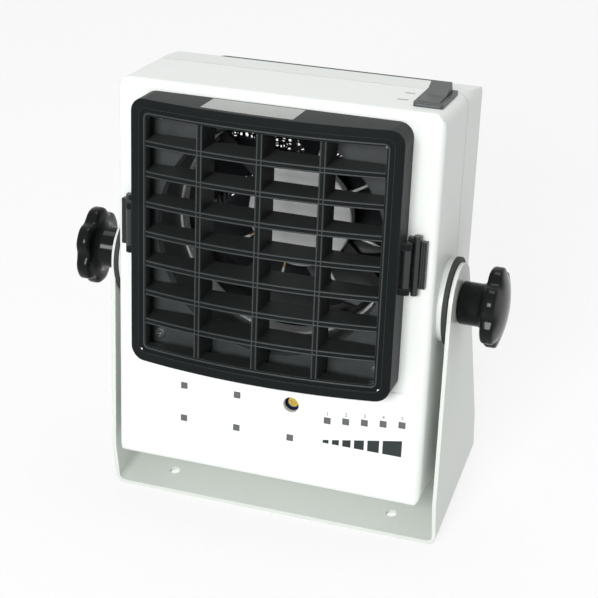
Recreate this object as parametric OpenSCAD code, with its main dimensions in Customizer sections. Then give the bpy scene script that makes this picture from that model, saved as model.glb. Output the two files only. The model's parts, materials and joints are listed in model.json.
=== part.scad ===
// Ionizing blower: a fan housing with electrode needles that tilts in a bent sheet-metal stand.
// The housing, its fan, filter, panel and louver are modelled upright in a frame whose origin is the
// tilt axis, with the air leaving towards -Y. head() then leans that frame back on the stand.

/* [Housing] */
// Width of the housing
housing_w = 160; // [156:1:180]
// Height of the housing
housing_h = 198; // [192:1:220]
// Depth of the housing from its front face to its rear face
housing_d = 74; // [72:1:90]
// Thickness of the moulded walls
wall = 2.5; // [2:0.1:3]
// Radius of the housing's corners, seen from the front
corner_r = 6; // [4:0.5:8]
// Radius of the edges round the front face
front_r = 4; // [2:0.5:5]
// Distance of the seam between the shells from the rear face
seam_rear = 30; // [28:0.5:31]
// How far the top of the rear shell slopes down to the rear face
rear_drop = 3.5; // [0:0.5:5]

/* [Tilt] */
// How far the housing leans back
tilt_deg = 12; // [-20:1:25]
// Distance of the tilt axis behind the front face
pivot_back = 27.5; // [24:0.5:30]
// Height of the tilt axis above the housing's bottom
pivot_up = 100.5; // [98:0.5:104]

/* [Stand] */
// Height of the tilt axis above the surface that the stand rests on
stand_h = 121; // [120:1:140]
// Depth of the stand's base from front to back
stand_d = 80; // [70:1:100]
// Thickness of the stand's sheet metal
sheet = 2; // [1.5:0.1:3]
// Inside radius of the stand's bends
bend_r = 3; // [2:0.5:5]
// Radius of the rounded top of each arm
arm_top_r = 19; // [16:0.5:22]
// Height at which the arms start to taper
arm_straight = 26; // [20:1:40]
// Distance between the base's fixing holes from left to right
base_hole_x = 120; // [80:1:130]
// Distance between the base's fixing holes from front to back
base_hole_y = 50; // [30:1:56]
// Diameter of the base's fixing holes
base_hole_d = 5.5; // [4:0.5:7]

/* [Clamp knobs] */
// Diameter of the knob's head
knob_d = 40; // [34:1:46]
// Thickness of the knob's head at its middle
knob_t = 10; // [8:0.5:13]
// Diameter of the knob's hub
hub_d = 21; // [18:0.5:24]
// Length of the knob's hub
hub_l = 13; // [8:0.5:16]
// Number of finger grips round the knob
knob_grips = 6; // [5:1:8]
// Diameter of the clamp stud
stud_d = 8; // [6:0.5:10]
// Diameter of the boss on the housing's side
boss_d = 40; // [30:1:42]
// Thickness of the boss on the housing's side
boss_t = 3; // [2:0.5:4]
// Thickness of the rubber washer between boss and arm
washer_t = 2; // [1.5:0.1:3]
// How far the rubber washer stands out round the boss
washer_rim = 1.5; // [0.5:0.5:3]

/* [Fan] */
// Side of the square fan frame
fan_size = 120; // [116:1:121]
// Thickness of the fan
fan_t = 25; // [25:1:26]
// Distance between the fan's fixing holes
fan_pitch = 105; // [103:0.5:106]
// Diameter of the fan's bore
fan_bore = 115; // [112:0.5:116]
// Height of the fan's axis above the housing's bottom
fan_up = 127.5; // [126:0.5:128.5]
// Number of fan blades
blade_count = 7; // [5:1:9]
// Thickness of a blade
blade_t = 1.8; // [1.4:0.1:2.4]
// Diameter of the impeller's hub
impeller_hub_d = 44; // [40:1:48]
// Diameter of the fan's shaft
shaft_d = 4; // [3:0.5:5]

/* [Air duct and electrodes] */
// Inside diameter of the air duct
duct_d = 113; // [108:0.5:114]
// Thickness of the duct's wall
duct_wall = 1.8; // [1.4:0.1:2.2]
// Thickness of the plate in front of the duct
plate_t = 2; // [1.5:0.1:3]
// Diameter of the disc that holds the electrode needles
emitter_d = 54; // [50:1:56]
// Thickness of the disc that holds the electrode needles
emitter_t = 6; // [5:0.5:8]
// Number of electrode needles
needle_count = 8; // [4:1:10]
// Free length of an electrode needle
needle_l = 16; // [12:1:18]
// Diameter of an electrode needle
needle_d = 1.5; // [1:0.1:2]

/* [Louver] */
// Width and height of the louver
louver_size = 132; // [130:0.5:135]
// Depth of the louver at its sides
louver_side = 14.5; // [13:0.5:18]
// How far the louver bulges forward in the middle
louver_bulge = 7.5; // [5:0.5:9]
// Width and height of the louver's slatted window
window_size = 116; // [112:0.5:117]
// Width of the louver's raised border
border_w = 4.4; // [3:0.2:5]
// How far the slats lie behind the raised border
border_step = 0.9; // [0.5:0.1:1.5]
// Number of rows between the slats
rows = 8; // [6:1:10]
// Number of columns between the upright bars
columns = 4; // [3:1:5]
// Thickness of the slats and bars
slat_t = 3; // [2.5:0.1:3.6]
// Depth of the slats and bars at the louver's sides
slat_d = 11; // [8:0.5:12]
// Thickness of the louver's front frame
frame_t = 3.6; // [2.5:0.1:5]

/* [Latches] */
// Height of a latch
latch_h = 27; // [22:1:30]
// How far a latch stands out at the louver's side
latch_w = 7; // [6.5:0.1:7.2]

/* [Power switch] */
// Width of the switch's rim
switch_w = 14; // [13:0.5:15]
// Length of the switch's rim
switch_l = 30.5; // [29:0.5:31]
// Angle that the rocker swings through
rocker_swing = 24; // [16:1:26]

/* [Control panel] */
// Width of the panel sheet
panel_w = 150; // [148:1:151]
// Height of the panel sheet
panel_h = 54; // [53:0.5:55]
// Side of a light window
light_w = 3.3; // [2.5:0.1:3.6]
// Number of lights in the fan speed row
speed_lights = 5; // [3:1:5]
// Diameter of the hole over the trimmer
trimmer_hole_d = 8; // [7:0.5:9]

/* [Filter] */
// Width and height of the filter's cover
filter_size = 130; // [128:0.5:131]
// How far the filter's cover stands out behind the housing
filter_d = 10; // [9:0.5:14]

/* [Hidden] */
$fn = 64;

// Clearances
running = 0.05;  // round parts that turn in each other
easy = 0.3;      // moving faces that pass each other
seat = 0.1;      // parts that are assembled into each other
tiny = 0.01;     // overlap that makes cuts clean

// Housing planes, measured from the tilt axis
face_y = -pivot_back;
rear_y = housing_d - pivot_back;
seam_y = rear_y - seam_rear;
base_z = -pivot_up;
top_z = housing_h - pivot_up;
mid_z = (base_z + top_z) / 2;
fan_z = fan_up - pivot_up;
side_x = housing_w / 2;
seam_gap = 0.3;

// Stand
arm_inner = side_x + boss_t + washer_t + easy;
arm_outer = arm_inner + sheet;

// Fan, seated against the inside of the rear wall
fan_rear_y = rear_y - wall;
fan_front_y = fan_rear_y - fan_t;
motor_plate_t = 3;
hub_r = impeller_hub_d / 2;
tip_gap = 1.2;
blade_r = fan_bore / 2 - tip_gap;
tube_r = 4;
bearing_y0 = fan_front_y + motor_plate_t;
bearing_l = 4;
tube_l = 14;
stator_y0 = bearing_y0 + 3;
stator_t = 10;
coil_over = 0.6;  // how far a winding stands out at the core's ends

// Duct
duct_r = duct_d / 2;
duct_out = duct_r + duct_wall;
plate_w = louver_size - 2 * 3;
emitter_y0 = fan_front_y - emitter_t;
needle_y = emitter_y0 + emitter_t / 2;

// Louver
louver_wall = 2.6;
louver_corner = 7;
slat_root = 1;  // how far slats and bars run into the frame round the window
louver_front = face_y - louver_side - louver_bulge;
louver_curve = (pow(louver_size / 2, 2) + pow(louver_bulge, 2)) / (2 * louver_bulge);
column_pitch = (window_size + slat_t) / columns;
row_pitch = (window_size + slat_t) / rows;

// Latches
latch_x = louver_size / 2 + 1.3;
latch_out = louver_size / 2 + easy + latch_w;
latch_pin_x = louver_size / 2 + 2.6;
latch_pin_y = face_y - 9.5;
latch_tab_y = face_y - 4;

// Shell screws
post_r = 4;
post_x = side_x - wall - post_r + 0.5;
post_top = top_z - 28;
post_low = base_z + 10;
screw_r = 1.5;
head_r = 2.8;

// Switch
switch_x = side_x - 11.5;
switch_y = seam_y - 0.5 - switch_l / 2 - 2;
switch_rim = 2;
rocker_z = top_z + 0.5;
rocker_w = switch_w - 4.2;
rocker_r = switch_l / 2 - 3.6;
rocker_foot = 6;  // how deep the rocker reaches below its pivot
well_w = rocker_w + 0.6;
well_l = 2 * rocker_r + 0.8;
switch_body_w = switch_w - 1.6;
switch_body_l = switch_l - 3.4;
switch_body_h = 15;

// Panel
overlay_t = 0.3;
panel_gap = 1.5;
panel_z = fan_z - louver_size / 2 - panel_gap - panel_h / 2;
light_row_top = base_z + 44;
light_row_low = base_z + 26;
light_columns = [-43.7, -15.4, 12.9];
speed_x0 = 31.8;
speed_pitch = 9.4;
speed_z0 = base_z + 39;
speed_rise = 1.2;
board_gap = 5;
board_y = face_y + wall + board_gap;
board_t = 1.6;
board_w = housing_w - 2 * wall - 12;
board_h = 50;
board_up = 32;  // height of the board's middle above the housing's bottom
board_z = base_z + board_up;
board_screw_x = board_w / 2 - 5;
board_screw_z = board_h / 2 - 4;
trimmer_w = 9;
trimmer_h = 3.2;
rotor_r = 2.6;
rotor_t = 1.4;

// Filter
guard_inset = 3;     // the guard's plate lies this far inside the cover's outline
guard_border = 5.5;  // width of the plate where it is narrowest
guard_t = 3;
guard_r = filter_size / 2 - guard_inset - guard_border;
guard_ring = 14;     // radius of the innermost ring
guard_pitch = 13;    // distance from one ring to the next
foam_inset = 11;     // the foam lies this far inside the cover's outline
head_clear = 4.4;    // radius kept free round the heads of the fan's screws

// High voltage module
module_w = 64;
module_d = 26;
module_h = 26;
module_x = -26;
module_y = seam_y - 6 - module_d / 2;
module_ear = 8;
module_ear_d = 10;
module_post = 6;

// Power inlet and ground terminal
jack_x = 50;
ground_x = 26;
inlet_z = base_z + 26;
jack_r = 5.4;
jack_bore_r = 2.85;
jack_deep = 9.5;

// Stands everything on the stand's tilt axis and leans it back
module head() {
    translate([0, 0, stand_h]) rotate([-tilt_deg, 0, 0]) children();
}

// Rectangle with round corners, centred
module round_rect(w, h, r) {
    square([w - 2 * r, h], center = true);
    square([w, h - 2 * r], center = true);
    for (x = [-1, 1], z = [-1, 1]) translate([x * (w / 2 - r), z * (h / 2 - r)]) circle(r);
}

// Stands a drawing of the front view up and gives it the depth from y0 to y1
module slab(y0, y1) {
    translate([0, y1, 0]) rotate([90, 0, 0]) linear_extrude(y1 - y0) children();
}

// Stands a drawing of the side view (Y, Z) up and gives it the width from x0 to x1
module side_slab(x0, x1) {
    translate([x0, 0, 0]) rotate([90, 0, 90]) linear_extrude(x1 - x0) children();
}

// Cylinder along Y from y0 to y1
module rod_y(x, z, r, y0, y1) {
    translate([x, y1, z]) rotate([90, 0, 0]) cylinder(r = r, h = y1 - y0);
}

// Cylinder along X from x0 to x1
module rod_x(y, z, r, x0, x1) {
    translate([x0, y, z]) rotate([0, 90, 0]) cylinder(r = r, h = x1 - x0);
}

// Box given by its limits on each axis
module box(x, y, z) {
    translate([x[0], y[0], z[0]]) cube([x[1] - x[0], y[1] - y[0], z[1] - z[0]]);
}

// Copies its children to the left and right
module both_sides() {
    children();
    mirror([1, 0, 0]) children();
}

// Screw along Y: its head lies behind head_y and its shank reaches forward from there
module screw(x, z, head_y, shank_r, head_radius, head_l, shank_l) {
    difference() {
        rod_y(x, z, head_radius, head_y, head_y + head_l);
        for (turn = [0, 90])
            translate([x, head_y + head_l, z]) rotate([0, turn, 0])
                cube([head_radius * 1.1, head_l, head_l * 0.3], center = true);
    }
    rod_y(x, z, shank_r, head_y - shank_l, head_y + tiny);
}

// Outer form of the housing, shrunk on all sides by inset: three views cut into each other
module housing_form(inset) {
    r = max(front_r - inset, 0.5);
    half = side_x - inset;
    y0 = face_y + inset;
    y1 = rear_y - inset;
    z0 = base_z + inset;
    z1 = top_z - inset;
    intersection() {
        slab(y0 - 1, y1 + 1) translate([0, mid_z])
            round_rect(2 * half, z1 - z0, max(corner_r - inset, 1));
        translate([0, 0, z0 - 1]) linear_extrude(z1 - z0 + 2) {
            translate([-half, y0 + r]) square([2 * half, y1 - y0 - r]);
            translate([-half + r, y0]) square([2 * (half - r), r + 1]);
            for (x = [-1, 1]) translate([x * (half - r), y0 + r]) circle(r);
        }
        side_slab(-half - 1, half + 1) {
            translate([y0 + r, z0]) square([seam_y - y0 - r, z1 - z0]);
            translate([y0, z0 + r]) square([r + 1, z1 - z0 - 2 * r]);
            for (z = [z0 + r, z1 - r]) translate([y0 + r, z]) circle(r);
            polygon([[seam_y - 1, z0], [y1, z0], [y1, z1 - rear_drop], [seam_y, z1], [seam_y - 1, z1]]);
        }
    }
}

// Where the lights of the panel sit: three columns in two rows, and the rising fan speed row
light_places = concat(
    [for (x = [light_columns[0], light_columns[1]]) [x, light_row_top]],
    [for (x = light_columns) [x, light_row_low]],
    [for (i = [0 : speed_lights - 1]) [speed_x0 + i * speed_pitch, speed_z0 + i * speed_rise]]
);
trimmer_x = light_columns[2];
trimmer_z = light_row_top;

// The four shell screws, as X and Z
post_places = [for (x = [-1, 1], z = [post_top, post_low]) [x * post_x, z]];

// ---- Stand ----

// Side view of an arm on the base: straight at the foot, then tapering to a round top
module arm_outline() {
    far = norm([stand_d / 2, stand_h - arm_straight]);
    run = sqrt(far * far - arm_top_r * arm_top_r);
    lean = atan2(stand_h - arm_straight, -stand_d / 2) - asin(arm_top_r / far);
    touch = [stand_d / 2 + run * cos(lean), arm_straight + run * sin(lean)];
    polygon([
        [-stand_d / 2, 0], [stand_d / 2, 0], [stand_d / 2, arm_straight], touch,
        [-touch[0], touch[1]], [-stand_d / 2, arm_straight]
    ]);
    translate([0, stand_h]) circle(arm_top_r);
}

module stand_bracket() {
    top = stand_h + arm_top_r + 20;
    color([0.83, 0.86, 0.83]) difference() {
        intersection() {
            slab(-stand_d / 2, stand_d / 2) difference() {
                translate([0, top / 2]) round_rect(2 * arm_outer, top, bend_r + sheet);
                translate([0, top / 2 + sheet]) round_rect(2 * arm_inner, top, bend_r);
            }
            side_slab(-arm_outer - 1, arm_outer + 1) arm_outline();
        }
        rod_x(0, stand_h, stud_d / 2 + 2 * running, -arm_outer - 1, arm_outer + 1);
        for (x = [-1, 1], y = [-1, 1])
            translate([x * base_hole_x / 2, y * base_hole_y / 2, -1])
                cylinder(d = base_hole_d, h = sheet + 2);
    }
}

// Rubber washers between the bosses and the arms
module friction_washers() {
    color([0.07, 0.07, 0.07]) head() both_sides() difference() {
        rod_x(0, 0, boss_d / 2 + washer_rim, side_x + boss_t, side_x + boss_t + washer_t);
        rod_x(0, 0, stud_d / 2 + easy, side_x, arm_inner);
    }
}

// Bosses on the housing's sides, each with a spigot that runs through the wall
module pivot_bosses() {
    color([0.86, 0.88, 0.86]) head() both_sides() difference() {
        union() {
            rod_x(0, 0, boss_d / 2, side_x, side_x + boss_t);
            rod_x(0, 0, stud_d / 2 + 5, side_x - wall - 6, side_x + tiny);
        }
        rod_x(0, 0, stud_d / 2 + 3, side_x - wall - 7, side_x + boss_t + 1);
    }
}

// Threaded brass sleeves in the bosses, which take the studs
module clamp_inserts() {
    color([0.78, 0.65, 0.35]) head() both_sides() difference() {
        rod_x(0, 0, stud_d / 2 + 3 - running, side_x - wall - 6, side_x + boss_t);
        rod_x(0, 0, stud_d / 2 + running, side_x - wall - 7, side_x + boss_t + 1);
    }
}

// Hub and lobed head of a clamp knob on the right side
module knob() {
    x0 = arm_outer + easy;
    x1 = x0 + hub_l;
    dome = knob_t * 0.35;
    dome_r = (pow(knob_d / 2, 2) + pow(dome, 2)) / (2 * dome);
    soft = 2;
    difference() {
        union() {
            intersection() {
                // Turned form: flat back, round rim, domed front
                translate([x1, 0, 0]) rotate([0, 90, 0]) rotate_extrude() {
                    square([knob_d / 2 - soft, knob_t - dome]);
                    translate([0, soft]) square([knob_d / 2, knob_t - dome - 2 * soft]);
                    for (h = [soft, knob_t - dome - soft]) translate([knob_d / 2 - soft, h]) circle(soft);
                    intersection() {
                        translate([0, knob_t - dome_r]) circle(dome_r);
                        translate([0, soft]) square([knob_d / 2 - soft / 2, knob_t]);
                    }
                }
                // Finger grips cut round the rim
                translate([x1 - 1, 0, 0]) rotate([0, 90, 0]) linear_extrude(knob_t + 2) difference() {
                    circle(knob_d / 2 + 1);
                    for (i = [0 : knob_grips - 1])
                        rotate(i * 360 / knob_grips) translate([knob_d / 2 + 4.5, 0]) circle(knob_d * 0.19);
                }
            }
            translate([x0, 0, 0]) rotate([0, 90, 0]) rotate_extrude() polygon([
                [0, 0], [hub_d / 2 - 1, 0], [hub_d / 2, 1], [hub_d / 2, hub_l - 3],
                [hub_d / 2 + 3, hub_l], [hub_d / 2 + 3, hub_l + 1], [0, hub_l + 1]
            ]);
        }
        rod_x(0, 0, stud_d / 2 + running, x0 - 1, x1 + knob_t * 0.4);
    }
}

// Clamp stud on the right side, fixed in the knob
module stud() {
    tip = side_x - wall - 4;
    translate([tip, 0, 0]) rotate([0, 90, 0]) {
        translate([0, 0, 1]) cylinder(d = stud_d, h = arm_outer + easy + hub_l + knob_t * 0.4 - tip - 1);
        cylinder(d1 = stud_d - 2, d2 = stud_d, h = 1);
    }
}

module knob_right() color([0.08, 0.08, 0.09]) head() knob();
module knob_left() color([0.08, 0.08, 0.09]) head() mirror([1, 0, 0]) knob();
module stud_right() color([0.75, 0.76, 0.78]) head() stud();
module stud_left() color([0.75, 0.76, 0.78]) head() mirror([1, 0, 0]) stud();

// ---- Housing ----

// Windows and holes of the panel, cut by grow more than the parts in them
module panel_cuts(y0, y1, grow) {
    for (p = light_places)
        box([p[0] - light_w / 2 - grow, p[0] + light_w / 2 + grow], [y0, y1],
            [p[1] - light_w / 2 - grow, p[1] + light_w / 2 + grow]);
    rod_y(trimmer_x, trimmer_z, trimmer_hole_d / 2, y0, y1);
}

// Where the control board is screwed down
module board_screw_places() {
    for (x = [-1, 1], z = [-1, 1]) translate([x * board_screw_x, 0, board_z + z * board_screw_z]) children();
}

module front_shell() {
    color([0.95, 0.96, 0.95]) head() {
        difference() {
            union() {
                difference() {
                    housing_form(0);
                    housing_form(wall);
                    box([-side_x - 1, side_x + 1], [seam_y, rear_y + 1], [base_z - 1, top_z + 1]);
                }
                // Posts that take the shell screws
                for (p = post_places) rod_y(p[0], p[1], post_r, face_y + wall - 0.5, seam_y);
                // Posts that carry the control board
                board_screw_places() rod_y(0, 0, 3, face_y + wall - 0.5, board_y);
                // Posts under the high voltage module's ears
                for (x = [-1, 1])
                    translate([module_x + x * (module_w + module_ear) / 2, module_y, base_z + wall - 0.5])
                        cylinder(r = 3.5, h = module_post + 0.5);
                // Ribs that reach into the rear shell and line the two up
                for (x = [-40, 0, 40]) {
                    locating_rib(x, base_z + wall, 1);
                    locating_rib(x, top_z - wall, -1);
                }
            }
            for (p = post_places) rod_y(p[0], p[1], screw_r - seat, seam_y - 14, seam_y + 1);
            board_screw_places() rod_y(0, 0, 1.2, face_y + wall + 1, board_y + 1);
            for (x = [-1, 1])
                translate([module_x + x * (module_w + module_ear) / 2, module_y, base_z + wall + 0.5])
                    cylinder(r = 1.2, h = module_post + 1);
            // Air opening, with pilot holes for the screws of the duct's plate
            rod_y(0, fan_z, duct_out + easy, face_y - 1, face_y + wall + 1);
            duct_screw_places() rod_y(0, 0, 1.2, face_y - 1, face_y + wall + 1);
            panel_cuts(face_y - 1, face_y + wall + 1, seat);
            rod_x(0, 0, stud_d / 2 + 5 + seat, -side_x - 1, side_x + 1);
            box([switch_x - switch_body_w / 2 - seat, switch_x + switch_body_w / 2 + seat],
                [switch_y - switch_body_l / 2 - seat, switch_y + switch_body_l / 2 + seat],
                [top_z - wall - 1, top_z + 1]);
        }
    }
}

// Rib on the inside of a wall at height z, reaching past the seam; up is 1 on the floor, -1 on the roof
module locating_rib(x, z, up) {
    for (part = [[seam_y - 8, seam_y, -0.3], [seam_y - 1, seam_y + 5, rear_drop * 0.2 + 0.2]]) {
        low = up * part[2];
        high = up * 2.4;
        box([x - 8, x + 8], [part[0], part[1]], [z + min(low, high), z + max(low, high)]);
    }
}

module rear_shell() {
    color([0.93, 0.94, 0.93]) head() difference() {
        union() {
            difference() {
                housing_form(0);
                housing_form(wall);
                box([-side_x - 1, side_x + 1], [face_y - 1, seam_y + seam_gap], [base_z - 1, top_z + 1]);
            }
            for (p = post_places) rod_y(p[0], p[1], post_r, seam_y + seam_gap, rear_y - wall + 0.5);
        }
        for (p = post_places) {
            rod_y(p[0], p[1], screw_r + easy, seam_y - 1, rear_y + 1);
            rod_y(p[0], p[1], head_r + easy, seam_y + 8, rear_y + 1);
        }
        rod_y(0, fan_z, fan_bore / 2, fan_rear_y - 1, rear_y + 1);
        fan_screw_places() rod_y(0, 0, 2.15, fan_rear_y - 1, rear_y + 1);
        rod_y(jack_x, inlet_z, jack_r + seat, fan_rear_y - 1, rear_y + 1);
        rod_y(ground_x, inlet_z, 2 + seat, fan_rear_y - 1, rear_y + 1);
    }
}

// Self-tapping screws that close the housing, sunk in the rear shell's posts
module shell_screws() {
    color([0.35, 0.36, 0.38]) head() for (p = post_places)
        screw(p[0], p[1], seam_y + 8, screw_r - seat, head_r, 2, 18);
}

// ---- Air duct and electrodes ----

module duct_screw_places() {
    reach = plate_w / 2 - 7;
    for (x = [-1, 1], z = [-1, 1]) translate([x * reach, 0, fan_z + z * reach]) children();
}

// Plate behind the louver, in one piece with the tube that leads back to the fan
module duct() {
    lip = 2.5;
    color([0.28, 0.3, 0.31]) head() difference() {
        union() {
            slab(face_y - plate_t, face_y) translate([0, fan_z]) round_rect(plate_w, plate_w, 5);
            rod_y(0, fan_z, duct_out, face_y - tiny, fan_front_y);
        }
        rod_y(0, fan_z, duct_r, face_y - plate_t - 1, fan_front_y + 1);
        // Flared lip at the front of the tube
        translate([0, face_y - plate_t - tiny, fan_z]) rotate([-90, 0, 0])
            cylinder(r1 = duct_r + lip * 0.6, r2 = duct_r - tiny, h = lip);
        duct_screw_places() rod_y(0, 0, 1.6, face_y - plate_t - 1, face_y + 1);
    }
}

module duct_screws() {
    color([0.6, 0.61, 0.62]) head() duct_screw_places()
        mirror([0, 1, 0]) screw(0, 0, -(face_y - plate_t), 1.1, 2.6, 1.4, plate_t + wall);
}

// Counter electrode: a steel ring against the inside of the duct
module counter_ring() {
    color([0.72, 0.73, 0.75]) head() difference() {
        rod_y(0, fan_z, duct_r - running, needle_y - 20, needle_y - 12);
        rod_y(0, fan_z, duct_r - 1.2, needle_y - 21, needle_y - 11);
    }
}

// Moves a piece that points up from the origin to each needle's place on the disc's rim
module needle_places(radius) {
    for (i = [0 : needle_count - 1])
        translate([0, needle_y, fan_z]) rotate([0, 15 + i * 360 / needle_count, 0]) translate([0, 0, radius])
            children();
}

// Disc in front of the fan's motor that holds the needles and feeds them
module emitter_hub() {
    soft = 1.2;
    color([0.92, 0.93, 0.94]) head() difference() {
        translate([0, fan_front_y, fan_z]) rotate([90, 0, 0]) rotate_extrude() {
            square([emitter_d / 2, emitter_t - soft]);
            square([emitter_d / 2 - soft, emitter_t]);
            translate([emitter_d / 2 - soft, emitter_t - soft]) circle(soft);
        }
        needle_places(emitter_d / 2 - 5) cylinder(r = needle_d / 2 + 0.7, h = 6);
    }
}

// Small metal collars in the rim, one for each needle
module needle_sockets() {
    color([0.8, 0.68, 0.4]) head() needle_places(emitter_d / 2 - 5) difference() {
        cylinder(r = needle_d / 2 + 0.7 - running, h = 8);
        translate([0, 0, 1]) cylinder(r = needle_d / 2 + running / 2, h = 8);
    }
}

// Electrode needles, pointing outwards from the disc
module emitter_needles() {
    color([0.82, 0.83, 0.85]) head() needle_places(emitter_d / 2 - 4 + tiny) {
        cylinder(d = needle_d, h = needle_l + 1);
        translate([0, 0, needle_l + 1]) cylinder(d1 = needle_d, d2 = 0.2, h = 3);
    }
}

// ---- Fan ----

module fan_screw_places() {
    for (x = [-1, 1], z = [-1, 1]) translate([x * fan_pitch / 2, 0, fan_z + z * fan_pitch / 2]) children();
}

// Square frame with its bore, and the motor plate held by four slanting struts
module fan_frame() {
    strut_w = 5;
    color([0.12, 0.12, 0.13]) head() {
        difference() {
            union() {
                difference() {
                    slab(fan_front_y, fan_rear_y) translate([0, fan_z]) round_rect(fan_size, fan_size, 5);
                    rod_y(0, fan_z, fan_bore / 2, fan_front_y - 1, fan_rear_y + 1);
                    // The corners are thin flanges at the front and rear
                    difference() {
                        slab(fan_front_y + 4, fan_rear_y - 4) translate([0, fan_z])
                            square([fan_size + 2, fan_size + 2], center = true);
                        rod_y(0, fan_z, fan_size / 2, fan_front_y, fan_rear_y);
                    }
                }
                for (i = [0 : 3]) translate([0, 0, fan_z]) rotate([0, 45 + 90 * i, 0])
                    box([-strut_w / 2 - 6, strut_w / 2 - 6], [fan_front_y, fan_front_y + motor_plate_t],
                        [16, fan_bore / 2 + 0.3]);
                rod_y(0, fan_z, hub_r + 2, fan_front_y, fan_front_y + motor_plate_t);
                rod_y(0, fan_z, tube_r + 1.5, fan_front_y, bearing_y0 + tube_l);
            }
            rod_y(0, fan_z, tube_r + running, bearing_y0 - 1.5, bearing_y0 + tube_l + 1);
            fan_screw_places() rod_y(0, 0, 2.15, fan_front_y - 1, fan_rear_y + 1);
        }
    }
}

// Plan of one blade: a strip that sweeps round as it runs outwards from the hub
module blade_plan() {
    steps = 5;
    r0 = hub_r - 1.2;
    sweep = 34;
    function along(i) = r0 + (blade_r - r0) * i / steps;
    function turn(i) = sweep * pow(i / steps, 1.4);
    function half(i) = blade_t * (1.15 - 0.5 * i / steps);
    polygon(concat(
        [for (i = [0 : steps]) along(i) * [cos(turn(i)), sin(turn(i))]
            + half(i) * [-sin(turn(i)), cos(turn(i))]],
        [for (i = [steps : -1 : 0]) along(i) * [cos(turn(i)), sin(turn(i))]
            - half(i) * [-sin(turn(i)), cos(turn(i))]]
    ));
}

// Hub cup and blades; each blade is a strip that twists as it rises
module fan_impeller() {
    cup_y0 = fan_front_y + motor_plate_t + 0.8;
    cup_y1 = fan_rear_y - 1.5;
    blade_y0 = cup_y0 + 1;
    blade_h = cup_y1 - blade_y0 - 1.5;
    color([0.1, 0.1, 0.11]) head() {
        difference() {
            rod_y(0, fan_z, hub_r, cup_y0, cup_y1);
            rod_y(0, fan_z, hub_r - 1.6, cup_y0 - 1, cup_y1 - 2);
        }
        difference() {
            rod_y(0, fan_z, shaft_d / 2 + 2.5, cup_y1 - 4, cup_y1 - 1);
            rod_y(0, fan_z, shaft_d / 2, cup_y1 - 5, cup_y1 - 2);
        }
        difference() {
            translate([0, blade_y0 + blade_h, fan_z]) rotate([90, 0, 0]) for (i = [0 : blade_count - 1])
                rotate(i * 360 / blade_count) linear_extrude(blade_h, twist = 32, slices = 5) blade_plan();
            rod_y(0, fan_z, hub_r - 0.8, blade_y0 - 1, cup_y1);
        }
    }
}

module rotor_magnet() {
    y0 = fan_front_y + motor_plate_t + 2;
    color([0.25, 0.22, 0.2]) head() difference() {
        rod_y(0, fan_z, hub_r - 1.6 - running, y0, y0 + 14);
        rod_y(0, fan_z, hub_r - 3.6, y0 - 1, y0 + 15);
    }
}

// Shaft, held in the impeller and turning in the two bearings
module fan_shaft() {
    color([0.75, 0.76, 0.78]) head()
        rod_y(0, fan_z, shaft_d / 2 - running / 5, bearing_y0 - 1, fan_rear_y - 3.5 - running);
}

module fan_bearings() {
    places = [bearing_y0 - 0.5, bearing_y0 + tube_l - bearing_l];
    color([0.7, 0.71, 0.73]) head() for (y = places) difference() {
        rod_y(0, fan_z, tube_r, y, y + bearing_l);
        rod_y(0, fan_z, shaft_d / 2 + running, y - 1, y + bearing_l + 1);
    }
}

// Laminated core with four poles, pressed on the bearing tube
module fan_stator() {
    y0 = stator_y0;
    y1 = y0 + stator_t;
    color([0.5, 0.5, 0.52]) head() difference() {
        union() {
            rod_y(0, fan_z, tube_r + 4, y0, y1);
            for (i = [0 : 3]) translate([0, 0, fan_z]) rotate([0, 90 * i, 0])
                box([-2, 2], [y0, y1], [tube_r + 3, hub_r - 5]);
            difference() {
                rod_y(0, fan_z, hub_r - 4.2, y0, y1);
                rod_y(0, fan_z, hub_r - 6.2, y0 - 1, y1 + 1);
                for (i = [0 : 3]) translate([0, 0, fan_z]) rotate([0, 45 + 90 * i, 0])
                    box([-4, 4], [y0 - 1, y1 + 1], [0, hub_r]);
            }
        }
        rod_y(0, fan_z, tube_r + 1.5 + running, y0 - 1, y1 + 1);
    }
}

// One copper winding on each pole
module fan_coils() {
    y0 = stator_y0;
    y1 = y0 + stator_t;
    color([0.72, 0.42, 0.22]) head() for (i = [0 : 3])
        translate([0, 0, fan_z]) rotate([0, 90 * i, 0]) difference() {
            box([-4, 4], [y0 - coil_over, y1 + coil_over], [tube_r + 4 + easy, hub_r - 7.2]);
            box([-2 - running, 2 + running], [y0 - running, y1 + running], [0, hub_r]);
        }
}

// Driver board of the fan, flat on the motor plate
module fan_board() {
    color([0.1, 0.35, 0.2]) head() difference() {
        rod_y(0, fan_z, hub_r - 4, bearing_y0, bearing_y0 + 1.2);
        rod_y(0, fan_z, tube_r + 1.5 + running, bearing_y0 - 1, bearing_y0 + 2);
    }
}

// ---- Filter ----

// Long screws that hold the filter's base and the fan to the rear wall
module fan_screws() {
    color([0.4, 0.41, 0.43]) head() fan_screw_places()
        screw(0, 0, rear_y + guard_t, 1.95, 3.6, 2.2, wall + guard_t + fan_t - 2);
}

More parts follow.
